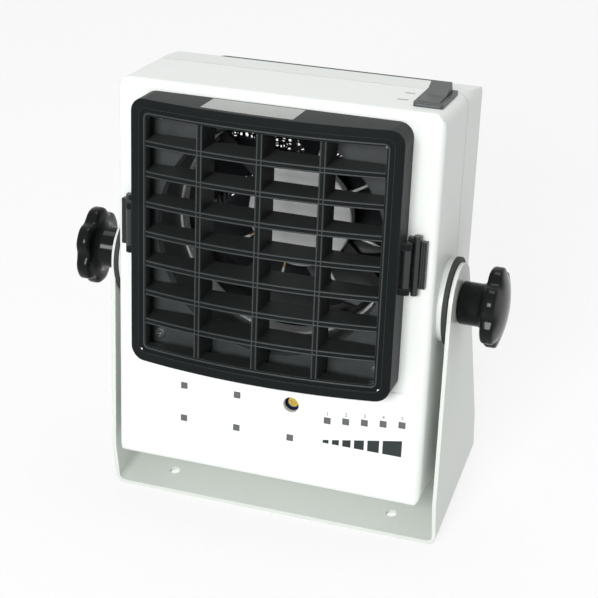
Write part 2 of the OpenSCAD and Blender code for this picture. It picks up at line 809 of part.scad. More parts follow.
// Base of the filter, with a finger guard of rings and spokes over the fan
module filter_base() {
    w = filter_size - 2 * guard_inset;
    t = guard_t;
    ring_w = 2;
    color([0.13, 0.13, 0.14]) head() difference() {
        union() {
            difference() {
                slab(rear_y, rear_y + t) translate([0, fan_z]) round_rect(w, w, 5);
                rod_y(0, fan_z, guard_r, rear_y - 1, rear_y + t + 1);
            }
            for (r = [guard_ring : guard_pitch : guard_ring + 2 * guard_pitch]) difference() {
                rod_y(0, fan_z, r + ring_w / 2, rear_y + 0.5, rear_y + t);
                rod_y(0, fan_z, r - ring_w / 2, rear_y, rear_y + t + 1);
            }
            for (i = [0 : 7]) translate([0, 0, fan_z]) rotate([0, 45 * i, 0])
                box([-ring_w / 2, ring_w / 2], [rear_y + 0.5, rear_y + t],
                    [guard_ring + (i % 2 == 0 ? 0 : 2 * guard_pitch) - 0.5, guard_r + 1]);
        }
        fan_screw_places() rod_y(0, 0, 2.15, rear_y - 1, rear_y + t + 1);
    }
}

// Square of open foam that catches dust, lying in the cover
module filter_media() {
    w = filter_size - 2 * foam_inset;
    color([0.16, 0.16, 0.17]) head() difference() {
        box([-w / 2, w / 2], [rear_y + guard_t + easy, rear_y + filter_d - 3],
            [fan_z - w / 2, fan_z + w / 2]);
        // Corners cut away round the heads of the fan's screws
        fan_screw_places() rod_y(0, 0, head_clear, rear_y, rear_y + filter_d);
    }
}

// Cover that snaps over the base and keeps the foam behind its bars
module filter_cover() {
    w = filter_size;
    t = 2;
    y0 = rear_y + 0.5;
    y1 = rear_y + filter_d;
    window = w - 2 * foam_inset - 2;
    pocket = w - 2 * foam_inset + 2 * easy;
    bar = 3;
    rows_here = 9;
    pitch = (window + bar) / rows_here;
    color([0.11, 0.11, 0.12]) head() difference() {
        union() {
            difference() {
                slab(y0, y1) translate([0, fan_z]) round_rect(w, w, 8);
                slab(y0 - 1, y1 - t - 1) translate([0, fan_z]) round_rect(w - 2 * t, w - 2 * t, 6);
                slab(y0, y1 + 1) translate([0, fan_z]) square([window, window], center = true);
            }
            // Walls that hold the foam's edges
            difference() {
                slab(rear_y + guard_t + 1, y1 - t) translate([0, fan_z])
                    square([pocket + 2 * t, pocket + 2 * t], center = true);
                slab(rear_y + guard_t, y1) translate([0, fan_z]) square([pocket, pocket], center = true);
                fan_screw_places() rod_y(0, 0, head_clear, rear_y, y1 - t - 1);
            }
            for (i = [1 : rows_here - 1])
                box([-window / 2 - tiny, window / 2 + tiny], [y1 - t - 1, y1],
                    [fan_z - window / 2 + i * pitch - bar, fan_z - window / 2 + i * pitch]);
            for (x = [-window / 6, window / 6]) box([x - bar / 2, x + bar / 2], [y1 - t - 1, y1 - 0.4],
                [fan_z - window / 2 - tiny, fan_z + window / 2 + tiny]);
        }
        // Finger notches at the sides
        for (x = [-1, 1]) translate([x * (w / 2 + 5), (rear_y + y1) / 2 + 1, fan_z - 8])
            cylinder(r = 6.2, h = 16);
    }
}

// ---- Louver ----

// Barrel form of the louver's front, moved back by step and shrunk by inset
module louver_barrel(step, inset, y1) {
    w = louver_size - 2 * inset;
    intersection() {
        slab(louver_front - 5, y1) translate([0, fan_z])
            round_rect(w, w, max(louver_corner - inset / 2, 0.5));
        translate([0, louver_front + louver_curve + step, fan_z - louver_size])
            cylinder(r = louver_curve, h = 2 * louver_size, $fn = 256);
    }
}

module louver() {
    half = window_size / 2;
    inner = louver_size / 2 - louver_wall;
    color([0.14, 0.15, 0.15]) head() {
        difference() {
            union() {
                difference() {
                    louver_barrel(0, 0, face_y);
                    // The field inside the raised border lies a little deeper
                    difference() {
                        slab(louver_front - 5, face_y) translate([0, fan_z])
                            round_rect(louver_size - 2 * border_w, louver_size - 2 * border_w, 4);
                        louver_barrel(border_step, -1, face_y + 1);
                    }
                    // Hollow behind the front, which goes over the duct's plate
                    difference() {
                        slab(louver_front - 5, face_y + 1) translate([0, fan_z])
                            round_rect(2 * inner, 2 * inner, 4);
                        slab(louver_front - 6, face_y - louver_side + frame_t) translate([0, fan_z])
                            square([louver_size, louver_size], center = true);
                    }
                    slab(louver_front - 5, face_y) translate([0, fan_z])
                        square([window_size, window_size], center = true);
                }
                // Slats and upright bars: their front edges follow the barrel, their rear edges are level
                intersection() {
                    louver_barrel(border_step, (louver_size - window_size) / 2 - slat_root,
                        face_y - louver_side + slat_d);
                    union() {
                        for (i = [1 : rows - 1])
                            box([-half - slat_root, half + slat_root], [louver_front, face_y],
                                [fan_z - half + i * row_pitch - slat_t, fan_z - half + i * row_pitch]);
                        for (i = [1 : columns - 1])
                            box([-half + i * column_pitch - slat_t, -half + i * column_pitch],
                                [louver_front, face_y],
                                [fan_z - half - slat_root, fan_z + half + slat_root]);
                    }
                }
                latch_lugs();
            }
            latch_pin_bores();
        }
    }
}

// Lugs at the louver's sides that carry the latches' pins
module latch_lugs() {
    both_sides() for (z = [-1, 1])
        translate([0, 0, fan_z + z * (latch_h / 2 - 2.5)]) {
            box([louver_size / 2 - 1, latch_pin_x], [latch_pin_y - 2.2, latch_pin_y + 2.2], [-1.5, 1.5]);
            translate([latch_pin_x, latch_pin_y, -1.5]) cylinder(r = 2.2, h = 3);
        }
}

module latch_pin_bores() {
    for (x = [-1, 1])
        translate([x * latch_pin_x, latch_pin_y, fan_z - latch_h]) cylinder(r = 1 + running, h = 2 * latch_h);
}

// Squeeze latch on the right side: a thumb tab on a stem that turns about an upright pin
module latch() {
    z0 = fan_z - latch_h / 2;
    z1 = fan_z + latch_h / 2;
    lug_z = latch_h / 2 - 2.5;
    difference() {
        union() {
            // Stem between the lugs
            box([latch_x, latch_x + 2.4], [latch_pin_y, latch_tab_y + 1],
                [fan_z - lug_z + 1.8, fan_z + lug_z - 1.8]);
            translate([latch_pin_x, latch_pin_y, fan_z - lug_z + 1.8]) cylinder(r = 2, h = 2 * lug_z - 3.6);
            // Thumb tab
            box([latch_x, latch_out], [latch_tab_y, latch_tab_y + 2.2], [z0, z1]);
            // Grip ridge at the outer edge, with a rounded front
            translate([latch_out - 1.6, latch_tab_y, z0 - 1]) {
                cylinder(r = 1.6, h = latch_h + 2);
                translate([-1.6, 0, 0]) cube([3.2, 2.2, latch_h + 2]);
            }
        }
        // Grooves that give the thumb a grip
        for (i = [0 : 6])
            translate([latch_x + 1, latch_tab_y - 0.1, fan_z - latch_h / 2 + 3 + i * (latch_h - 6) / 6 - 0.4])
                cube([latch_w - 5, 0.5, 0.8]);
    }
    translate([latch_pin_x, latch_pin_y, fan_z - latch_h / 2 + 0.5]) cylinder(r = 1, h = latch_h - 1);
}

module latch_right() color([0.1, 0.1, 0.11]) head() latch();
module latch_left() color([0.1, 0.1, 0.11]) head() mirror([1, 0, 0]) latch();

// Ridged keepers on the housing's face, beside the latches' tabs
module latch_keepers() {
    w = 2.6;
    h = latch_h - 4;
    x0 = latch_out + easy;
    color([0.15, 0.16, 0.16]) head() both_sides() difference() {
        box([x0, x0 + w], [face_y - 3, face_y], [fan_z - h / 2, fan_z + h / 2]);
        for (x = [x0 + 0.7, x0 + 1.7])
            box([x, x + 0.4], [face_y - 4, face_y - 2.5], [fan_z - h / 2 - 1, fan_z + h / 2 + 1]);
    }
}

// ---- Power switch ----

module switch_body() {
    color([0.12, 0.12, 0.13]) head() difference() {
        union() {
            // Rim with rounded upper edges
            intersection() {
                translate([switch_x, switch_y, top_z]) linear_extrude(switch_rim)
                    round_rect(switch_w, switch_l, 1.5);
                side_slab(switch_x - switch_w, switch_x + switch_w)
                    translate([switch_y, top_z + switch_rim - 4]) round_rect(switch_l, 8, 1.2);
            }
            box([switch_x - switch_body_w / 2, switch_x + switch_body_w / 2],
                [switch_y - switch_body_l / 2, switch_y + switch_body_l / 2],
                [top_z - switch_body_h, top_z + 1]);
        }
        box([switch_x - well_w / 2, switch_x + well_w / 2], [switch_y - well_l / 2, switch_y + well_l / 2],
            [rocker_z - rocker_r - 0.5, top_z + switch_rim + 1]);
        rod_x(switch_y, rocker_z, 1 + running, switch_x - well_w / 2 - 0.9, switch_x + well_w / 2 + 0.9);
    }
}

// Rocker, pressed at the front: its top is a shallow V, its ends are round about the pivot
module switch_rocker() {
    rise = rocker_r * tan(rocker_swing);
    color([0.16, 0.16, 0.17]) head() {
        translate([0, switch_y, rocker_z]) side_slab(switch_x - rocker_w / 2, switch_x + rocker_w / 2)
            intersection() {
                circle(rocker_r);
                polygon([
                    [-rocker_r, 1.9], [0, 1.9], [rocker_r, 1.9 + rise], [rocker_r, -1], [3, -rocker_foot],
                    [-3, -rocker_foot], [-rocker_r, -3]
                ]);
            }
        rod_x(switch_y, rocker_z, 1, switch_x - well_w / 2 - 0.6, switch_x + well_w / 2 + 0.6);
    }
}

module switch_terminals() {
    color([0.8, 0.68, 0.4]) head() for (y = [-8, 0, 8])
        box([switch_x - 0.4, switch_x + 0.4], [switch_y + y - 2.4, switch_y + y + 2.4],
            [top_z - switch_body_h - 7, top_z - switch_body_h]);
}

// ---- Control panel ----

// Thin printed sheet on the front face
module control_overlay() {
    color([0.97, 0.98, 0.98]) head() difference() {
        slab(face_y - overlay_t, face_y) translate([0, panel_z]) round_rect(panel_w, panel_h, 1.5);
        panel_cuts(face_y - 1, face_y + 1, seat);
    }
}

// Light pipes that stand on the board and end level with the sheet
module status_lights() {
    color([0.3, 0.32, 0.33]) head() for (p = light_places)
        box([p[0] - light_w / 2, p[0] + light_w / 2], [face_y - overlay_t, board_y],
            [p[1] - light_w / 2, p[1] + light_w / 2]);
}

// Board with its chips and connector on the back
module control_board() {
    back = board_y + board_t;
    color([0.1, 0.36, 0.22]) head() {
        difference() {
            box([-board_w / 2, board_w / 2], [board_y, back], [board_z - board_h / 2, board_z + board_h / 2]);
            board_screw_places() rod_y(0, 0, 1.6, board_y - 1, back + 1);
            // Notches round the posts of the shell screws
            for (p = post_places) rod_y(p[0], p[1], post_r + 0.6, board_y - 1, back + 1);
        }
        for (x = [-38, 6]) box([x, x + 12], [back - tiny, back + 1.6], [board_z - 6, board_z + 6]);
        for (x = [24, 34]) rod_y(x + 4, board_z - 8, 3.2, back - tiny, back + 8);
        box([46, 60], [back - tiny, back + 7], [board_z - 16, board_z - 10]);
    }
}

module board_screws() {
    color([0.6, 0.61, 0.62]) head() board_screw_places() screw(0, 0, board_y + board_t, 1.1, 2.4, 1.6, 5.5);
}

module trimmer_body() {
    color([0.12, 0.2, 0.45]) head() difference() {
        box([trimmer_x - trimmer_w / 2, trimmer_x + trimmer_w / 2], [board_y - trimmer_h, board_y],
            [trimmer_z - trimmer_w / 2, trimmer_z + trimmer_w / 2]);
        rod_y(trimmer_x, trimmer_z, rotor_r + seat, board_y - trimmer_h - 1, board_y - trimmer_h + 0.6);
        rod_y(trimmer_x, trimmer_z, 1 + running, board_y - trimmer_h, board_y - 0.6);
    }
}

// Adjusting screw with a crossed slot
module trimmer_rotor() {
    y1 = board_y - trimmer_h + 0.5;
    color([0.85, 0.7, 0.2]) head() {
        difference() {
            rod_y(trimmer_x, trimmer_z, rotor_r, y1 - rotor_t, y1);
            for (turn = [0, 90]) translate([trimmer_x, y1 - rotor_t, trimmer_z]) rotate([0, turn + 20, 0])
                cube([rotor_r * 1.5, 1.2, 0.8], center = true);
        }
        rod_y(trimmer_x, trimmer_z, 1, y1 - tiny, y1 + 1.6);
    }
}

// ---- Power ----

// Potted block that makes the high voltage, with a screw ear at each end
module high_voltage_module() {
    z0 = base_z + wall + module_post;
    color([0.12, 0.13, 0.16]) head() difference() {
        union() {
            box([module_x - module_w / 2, module_x + module_w / 2],
                [module_y - module_d / 2, module_y + module_d / 2], [z0, z0 + module_h]);
            translate([module_x, module_y, z0]) linear_extrude(3)
                round_rect(module_w + 2 * module_ear, module_ear_d, module_ear / 2);
        }
        for (x = [-1, 1]) translate([module_x + x * (module_w + module_ear) / 2, module_y, z0 - 1])
            cylinder(r = 1.6, h = 5);
    }
}

module module_screws() {
    z = base_z + wall + module_post + 3;
    color([0.6, 0.61, 0.62]) head() for (x = [-1, 1])
        translate([module_x + x * (module_w + module_ear) / 2, module_y, z]) rotate([90, 0, 0])
            screw(0, 0, 0, 1.1, 2.4, 1.6, module_post);
}

// Round power inlet in the rear wall
module power_jack() {
    color([0.1, 0.1, 0.11]) head() difference() {
        union() {
            rod_y(jack_x, inlet_z, 7, rear_y, rear_y + 2);
            rod_y(jack_x, inlet_z, jack_r, rear_y - 13, rear_y + tiny);
        }
        rod_y(jack_x, inlet_z, jack_bore_r, rear_y + 2 - jack_deep, rear_y + 3);
    }
}

// Centre contact of the inlet
module jack_contact() {
    color([0.8, 0.7, 0.45]) head() rod_y(jack_x, inlet_z, 1.05, rear_y + 2 - jack_deep, rear_y + 0.5);
}

module jack_nut() {
    color([0.7, 0.71, 0.73]) head() difference() {
        translate([jack_x, fan_rear_y, inlet_z]) rotate([90, 0, 0]) cylinder(r = 8.4, h = 2.4, $fn = 6);
        rod_y(jack_x, inlet_z, jack_r + running, fan_rear_y - 3, fan_rear_y + 1);
    }
}

// Ground screw beside the inlet
module ground_terminal() {
    color([0.78, 0.69, 0.42]) head() {
        rod_y(ground_x, inlet_z, 5, rear_y, rear_y + 0.8);
        screw(ground_x, inlet_z, rear_y + 0.8, 2, 4, 2.8, 10);
    }
}

module ground_nut() {
    color([0.7, 0.71, 0.73]) head() difference() {
        translate([ground_x, fan_rear_y, inlet_z]) rotate([90, 0, 0]) cylinder(r = 4, h = 3, $fn = 6);
        rod_y(ground_x, inlet_z, 2 + running, fan_rear_y - 4, fan_rear_y + 1);
    }
}

stand_bracket();
friction_washers();
pivot_bosses();
clamp_inserts();
knob_left();
knob_right();
stud_left();
stud_right();
front_shell();
rear_shell();
shell_screws();
duct();
duct_screws();
counter_ring();
emitter_hub();
needle_sockets();
emitter_needles();
fan_frame();
fan_impeller();
rotor_magnet();
fan_shaft();
fan_bearings();
fan_stator();
fan_coils();
fan_board();
fan_screws();
filter_base();
filter_media();
filter_cover();
louver();
latch_left();
latch_right();
latch_keepers();
switch_body();
switch_rocker();
switch_terminals();
control_overlay();
status_lights();
control_board();
board_screws();
trimmer_body();
trimmer_rotor();
high_voltage_module();
module_screws();
power_jack();
jack_contact();
jack_nut();
ground_terminal();
ground_nut();
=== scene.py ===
# %% [markdown]
# # Dressing an ionizing blower
#
# A bench-top ionizing blower is a white moulded housing that leans back in a bent sheet-metal stand. A fan
# blows air through a black louver, past a ring of sharp needles that charge it. The hard parts of the
# object already exist as a CAD frame, in metres, with +Z up. This lesson gives every surface its finish and
# adds what CAD leaves plain: the fine ribs of the louver, the open web of the dust filter, swept fan
# blades, the moulded knobs and the print.

# %% Load the CAD frame
import json
import math

import bmesh
import bpy
from mathutils import Matrix, Vector


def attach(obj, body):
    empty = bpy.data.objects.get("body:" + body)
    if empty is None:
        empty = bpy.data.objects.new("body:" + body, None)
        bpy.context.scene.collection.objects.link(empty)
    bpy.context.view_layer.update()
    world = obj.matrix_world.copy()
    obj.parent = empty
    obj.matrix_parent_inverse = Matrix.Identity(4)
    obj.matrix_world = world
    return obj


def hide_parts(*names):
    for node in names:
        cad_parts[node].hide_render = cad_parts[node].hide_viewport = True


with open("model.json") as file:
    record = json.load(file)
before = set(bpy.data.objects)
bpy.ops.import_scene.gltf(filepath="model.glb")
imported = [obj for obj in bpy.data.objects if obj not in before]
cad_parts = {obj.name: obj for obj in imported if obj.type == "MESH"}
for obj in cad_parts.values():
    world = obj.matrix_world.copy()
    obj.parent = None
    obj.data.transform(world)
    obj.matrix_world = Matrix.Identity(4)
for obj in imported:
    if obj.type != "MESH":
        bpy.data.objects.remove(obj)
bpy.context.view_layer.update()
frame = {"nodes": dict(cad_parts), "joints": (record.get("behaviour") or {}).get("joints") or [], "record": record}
nodes = frame["nodes"]
joints = {joint["name"]: joint for joint in frame["joints"]}
MM = 0.001

# %% [markdown]
# The housing leans back on its tilt axis, so a slat that is level in the housing isn't level in the room.
# It is easier to think in the housing's own frame: X to the right, Y backwards along the air stream and Z
# up the housing, from an origin on the tilt axis. The fan's joint gives the direction of Y and the tilt
# joint gives the origin, so one matrix takes every piece from that frame into the room.

# %% The housing's own frame
pivot = Vector(joints["housing_tilt"]["pos_m"])
air_axis = Vector(joints["fan_spin"]["axis"]).normalized()
side_axis = Vector((1, 0, 0))
head_turn = Matrix((side_axis, air_axis, side_axis.cross(air_axis))).transposed().to_4x4()
HEAD = Matrix.Translation(pivot) @ head_turn
TO_HEAD = HEAD.inverted()


def head_box(node):
    """Lowest and highest corner of a CAD node in the housing's frame."""
    points = [TO_HEAD @ vertex.co for vertex in nodes[node].data.vertices]
    low = Vector([min(p[axis] for p in points) for axis in range(3)])
    high = Vector([max(p[axis] for p in points) for axis in range(3)])
    return low, high


tilt = math.degrees(math.atan2(-air_axis.z, air_axis.y))
print("the housing leans back by", round(tilt, 1), "degrees")

# %% [markdown]
# ## Camera
#
# A product view like this is taken from a little to the right and well above, with a long lens, so that
# upright edges stay almost parallel. The camera is placed by its azimuth, its elevation and its distance
# from a point in the middle of the housing, and rolled by two degrees, as a hand-held camera would be.
# Angles and a distance are easier to reason about than a matrix, so the matrix is worked out from them.

# %% Camera
LENS = 96.32
AZIMUTH = math.radians(20.088)
ELEVATION = math.radians(33.337)
ROLL = math.radians(-2.167)
DISTANCE = 805.6 * MM
AIM = Vector((2.76, 5.95, 103.45)) * MM
SENSOR = 36.0


def place_camera():
    """Makes the camera and turns it towards the aim."""
    data = bpy.data.cameras.new("camera")
    data.sensor_width = SENSOR
    data.lens = LENS
    data.clip_start = 0.05
    data.clip_end = 20.0
    camera = bpy.data.objects.new("camera", data)
    bpy.context.scene.collection.objects.link(camera)
    back = Vector((
        math.sin(AZIMUTH) * math.cos(ELEVATION),
        -math.cos(AZIMUTH) * math.cos(ELEVATION),
        math.sin(ELEVATION),
    ))
    level = Vector((math.cos(AZIMUTH), math.sin(AZIMUTH), 0))
    upward = back.cross(level)
    right = level * math.cos(ROLL) + upward * math.sin(ROLL)
    top = upward * math.cos(ROLL) - level * math.sin(ROLL)
    turn = Matrix((right, top, back)).transposed().to_4x4()
    camera.matrix_world = Matrix.Translation(AIM + back * DISTANCE) @ turn
    bpy.context.scene.camera = camera
    return camera


camera = place_camera()
print("lens", round(camera.data.lens, 1), "mm")

# %% [markdown]
# ## Light and floor
#
# The object stands in a white light tent. A tent is light from everywhere, with one soft lamp that is
# stronger than the rest. The world gives the even part, and two area lamps give the rest: the key from the
# front and above, so that the sides of the housing fall off into grey, and a weaker one over the top. Rays
# from the camera, mirrors and glass see the tent as plain white, whatever its strength as a light is.

# %% The white tent
TENT_LIGHT = 0.37
TENT_TINT = (0.985, 1.0, 0.985, 1)
scene = bpy.context.scene
scene.view_settings.view_transform = "Standard"


def seen_directly(tree):
    """1 for rays from the camera, mirrors and glass; 0 for the rays that light the scene."""
    path = tree.nodes.new("ShaderNodeLightPath")
    first = tree.nodes.new("ShaderNodeMath")
    first.operation = "MAXIMUM"
    tree.links.new(path.outputs["Is Camera Ray"], first.inputs[0])
    tree.links.new(path.outputs["Is Glossy Ray"], first.inputs[1])
    both = tree.nodes.new("ShaderNodeMath")
    both.operation = "MAXIMUM"
    tree.links.new(first.outputs[0], both.inputs[0])
    tree.links.new(path.outputs["Is Transmission Ray"], both.inputs[1])
    return both.outputs[0]


def make_world():
    """White tent: a plain light on the object, a white background behind it."""
    world = bpy.data.worlds.new("tent")
    scene.world = world
    world.use_nodes = True
    tree = world.node_tree
    tree.nodes.clear()
    light = tree.nodes.new("ShaderNodeBackground")
    light.inputs["Color"].default_value = TENT_TINT
    light.inputs["Strength"].default_value = TENT_LIGHT
    behind = tree.nodes.new("ShaderNodeBackground")
    behind.inputs["Strength"].default_value = 1.0
    mix = tree.nodes.new("ShaderNodeMixShader")
    out = tree.nodes.new("ShaderNodeOutputWorld")
    tree.links.new(seen_directly(tree), mix.inputs[0])
    tree.links.new(light.outputs[0], mix.inputs[1])
    tree.links.new(behind.outputs[0], mix.inputs[2])
    tree.links.new(mix.outputs[0], out.inputs["Surface"])


make_world()
print("tent light:", TENT_LIGHT)

# %% Lamps
LAMP_AIM = Vector((0, 0, 0.12))
# name: (place in metres, size in metres, power in watts)
LAMPS = {
    "key_lamp": ((-0.05, -1.35, 0.92), (0.6, 0.5), 17.5),
    "top_lamp": ((0.1, 0.35, 1.35), (0.9, 0.6), 6.0),
}


def add_lamp(name, place, size, power):
    """Soft rectangular lamp at a place, shining at the housing."""
    data = bpy.data.lights.new(name, "AREA")
    data.shape = "RECTANGLE"
    data.size, data.size_y = size
    data.energy = power
    lamp = bpy.data.objects.new(name, data)
    scene.collection.objects.link(lamp)
    turn = (LAMP_AIM - place).to_track_quat("-Z", "Y").to_matrix().to_4x4()
    lamp.matrix_world = Matrix.Translation(place) @ turn


for name, (place, size, power) in LAMPS.items():
    add_lamp(name, Vector(place), size, power)
print("lamps:", list(LAMPS))

# %% [markdown]
# The floor is one large sheet of pale paper. Rays that come from the camera see most of it as white and the
# rest as lit paper, which keeps the background clean and still leaves the object's shadow on it.

# %% Floor
FLOOR_HALF = 6.0
FLOOR_WHITE_SHARE = 0.8


def make_floor():
    """Pale floor, large enough that the camera never sees its edge."""
    mesh = bpy.data.meshes.new("floor")
    far = FLOOR_HALF
    corners = [(-far, -far, 0), (far, -far, 0), (far, far, 0), (-far, far, 0)]
    mesh.from_pydata(corners, [], [(0, 1, 2, 3)])
    floor = bpy.data.objects.new("floor", mesh)
    scene.collection.objects.link(floor)
    material = bpy.data.materials.new("floor_paper")
    material.use_nodes = True
    tree = material.node_tree
    paper = tree.nodes["Principled BSDF"]
    paper.inputs["Base Color"].default_value = (0.9, 0.905, 0.9, 1)
    paper.inputs["Roughness"].default_value = 0.9
    paper.inputs["Specular IOR Level"].default_value = 0.1
    glow = tree.nodes.new("ShaderNodeEmission")
    share = tree.nodes.new("ShaderNodeMath")
    share.operation = "MULTIPLY"
    share.inputs[1].default_value = FLOOR_WHITE_SHARE
    mix = tree.nodes.new("ShaderNodeMixShader")
    tree.links.new(seen_directly(tree), share.inputs[0])
    tree.links.new(share.outputs[0], mix.inputs[0])
    tree.links.new(paper.outputs[0], mix.inputs[1])
    tree.links.new(glow.outputs[0], mix.inputs[2])
    tree.links.new(mix.outputs[0], tree.nodes["Material Output"].inputs["Surface"])
    mesh.materials.append(material)


make_floor()
print("floor:", 2 * FLOOR_HALF, "m wide")

# %% [markdown]
# ## Building blocks for finishes
#
# Several finishes share the same effects, so each effect is a node group that is built once. `fine_grain`
# is the slight unevenness of a moulded or painted surface: a slow change of tone and a fine height.
# `soft_edges` finds the edges of a piece by comparing its flat normal with a rounded one. No real edge is
# perfectly sharp, and a thin rounded edge catches light, which is what the eye reads as plastic or sheet.
# Both take their place from Object coordinates, so the pattern moves with the piece.

# %% Tools for shader groups
def new_group(name, inputs, outputs):
    """Empty shader group with float inputs {name: default} and the given outputs {name: kind}."""
    tree = bpy.data.node_groups.new(name, "ShaderNodeTree")
    for label, value in inputs.items():
        socket = tree.interface.new_socket(label, in_out="INPUT", socket_type="NodeSocketFloat")
        socket.default_value = value
    for label, kind in outputs.items():
        tree.interface.new_socket(label, in_out="OUTPUT", socket_type=kind)
    return tree, tree.nodes.new("NodeGroupInput"), tree.nodes.new("NodeGroupOutput")


def noise(tree, source, scale, detail):
    """Noise in the object's own coordinates, its scale given by a socket."""
    texture = tree.nodes.new("ShaderNodeTexNoise")
    texture.inputs["Detail"].default_value = detail
    tree.links.new(source, texture.inputs["Vector"])
    tree.links.new(scale, texture.inputs["Scale"])
    return texture.outputs[0]


# %% Fine grain
def make_fine_grain():
    """Slow tone and fine height of a moulded or coated surface."""
    tree, given, out = new_group(
        "fine_grain", {"Grain Scale": 1500.0, "Tone Scale": 25.0},
        {"Tone": "NodeSocketFloat", "Height": "NodeSocketFloat"},
    )
    place = tree.nodes.new("ShaderNodeTexCoord").outputs["Object"]
    tree.links.new(noise(tree, place, given.outputs["Tone Scale"], 4.0), out.inputs["Tone"])
    tree.links.new(noise(tree, place, given.outputs["Grain Scale"], 2.0), out.inputs["Height"])
    return tree


GRAIN = make_fine_grain()
print("group:", GRAIN.name)


# %% Soft edges
def make_soft_edges():
    """Normal rounded over a small radius, and a mask that is 1 on the edges."""
    tree, given, out = new_group(
        "soft_edges", {"Radius": 0.0004, "Gain": 5.0},
        {"Mask": "NodeSocketFloat", "Normal": "NodeSocketVector"},
    )
    bevel = tree.nodes.new("ShaderNodeBevel")
    bevel.samples = 4
    tree.links.new(given.outputs["Radius"], bevel.inputs["Radius"])
    flat = tree.nodes.new("ShaderNodeNewGeometry")
    dot = tree.nodes.new("ShaderNodeVectorMath")
    dot.operation = "DOT_PRODUCT"
    tree.links.new(bevel.outputs[0], dot.inputs[0])
    tree.links.new(flat.outputs["Normal"], dot.inputs[1])
    turned = tree.nodes.new("ShaderNodeMath")
    turned.operation = "SUBTRACT"
    turned.inputs[0].default_value = 1.0
    tree.links.new(dot.outputs["Value"], turned.inputs[1])
    gain = tree.nodes.new("ShaderNodeMath")
    gain.operation = "MULTIPLY"
    gain.use_clamp = True
    tree.links.new(turned.outputs[0], gain.inputs[0])
    tree.links.new(given.outputs["Gain"], gain.inputs[1])
    tree.links.new(gain.outputs[0], out.inputs["Mask"])
    tree.links.new(bevel.outputs[0], out.inputs["Normal"])
    return tree


EDGES = make_soft_edges()
print("group:", EDGES.name)

# %% [markdown]
# ## One recipe, many finishes
#
# A finish is a Principled shader with those groups placed in front of it. The recipe takes the colour in
# linear light, the roughness and how strong each effect is. What is the same all over, such as metalness
# or the coat, is set on the shader's own sockets. A recipe keeps thirty finishes consistent, and each
# keeps its own numbers.

# %% The finish recipe
def finish(name, colour, rough, tone=0.06, rough_change=0.06, grain=1500.0, bump=0.15, depth=0.00002,
           edge_radius=0.0004, edge_tint=None, edge_share=0.5, metal=0.0, coat=0.0, specular=0.5,
           tone_scale=25.0, sheen=0.0):
    """Material with uneven tone and roughness, fine height and softened edges, whose colour is partly wear and
    partly a painted highlight.
    """
    material = bpy.data.materials.new(name)
    material.use_nodes = True
    tree = material.node_tree
    shader = tree.nodes["Principled BSDF"]
    shader.inputs["Metallic"].default_value = metal
    shader.inputs["Coat Weight"].default_value = coat
    shader.inputs["Coat Roughness"].default_value = 0.08
    shader.inputs["Specular IOR Level"].default_value = specular
    shader.inputs["Sheen Weight"].default_value = sheen
    shader.inputs["Sheen Roughness"].default_value = 0.4
    grain_node = tree.nodes.new("ShaderNodeGroup")
    grain_node.node_tree = GRAIN
    grain_node.inputs["Grain Scale"].default_value = grain
    grain_node.inputs["Tone Scale"].default_value = tone_scale
    edge_node = tree.nodes.new("ShaderNodeGroup")
    edge_node.node_tree = EDGES
    edge_node.inputs["Radius"].default_value = edge_radius

    tones = tree.nodes.new("ShaderNodeMix")
    tones.data_type = "RGBA"
    tones.inputs["A"].default_value = (*[channel * (1 - tone) for channel in colour], 1)
    tones.inputs["B"].default_value = (*[min(channel * (1 + tone), 1) for channel in colour], 1)
    tree.links.new(grain_node.outputs["Tone"], tones.inputs["Factor"])
    # Edges take the edge colour, by default a lighter one: partly wear, partly a painted highlight where a rounded
    # edge catches light.
    share = tree.nodes.new("ShaderNodeMath")
    share.operation = "MULTIPLY"
    share.inputs[1].default_value = edge_share
    tree.links.new(edge_node.outputs["Mask"], share.inputs[0])
    edge_wear_and_highlight = tree.nodes.new("ShaderNodeMix")
    edge_wear_and_highlight.data_type = "RGBA"
    edge_colour = edge_tint or [min(channel * 1.3 + 0.01, 1) for channel in colour]
    edge_wear_and_highlight.inputs["B"].default_value = (*edge_colour, 1)
    tree.links.new(share.outputs[0], edge_wear_and_highlight.inputs["Factor"])
    tree.links.new(tones.outputs["Result"], edge_wear_and_highlight.inputs["A"])
    tree.links.new(edge_wear_and_highlight.outputs["Result"], shader.inputs["Base Color"])

    roughness = tree.nodes.new("ShaderNodeMapRange")
    roughness.inputs["To Min"].default_value = max(rough - rough_change, 0.02)
    roughness.inputs["To Max"].default_value = min(rough + rough_change, 1.0)
    tree.links.new(grain_node.outputs["Tone"], roughness.inputs["Value"])
    tree.links.new(roughness.outputs["Result"], shader.inputs["Roughness"])

    height = tree.nodes.new("ShaderNodeBump")
    height.inputs["Strength"].default_value = bump
    height.inputs["Distance"].default_value = depth
    tree.links.new(grain_node.outputs["Height"], height.inputs["Height"])
    tree.links.new(edge_node.outputs["Normal"], height.inputs["Normal"])
    tree.links.new(height.outputs["Normal"], shader.inputs["Normal"])
    return material
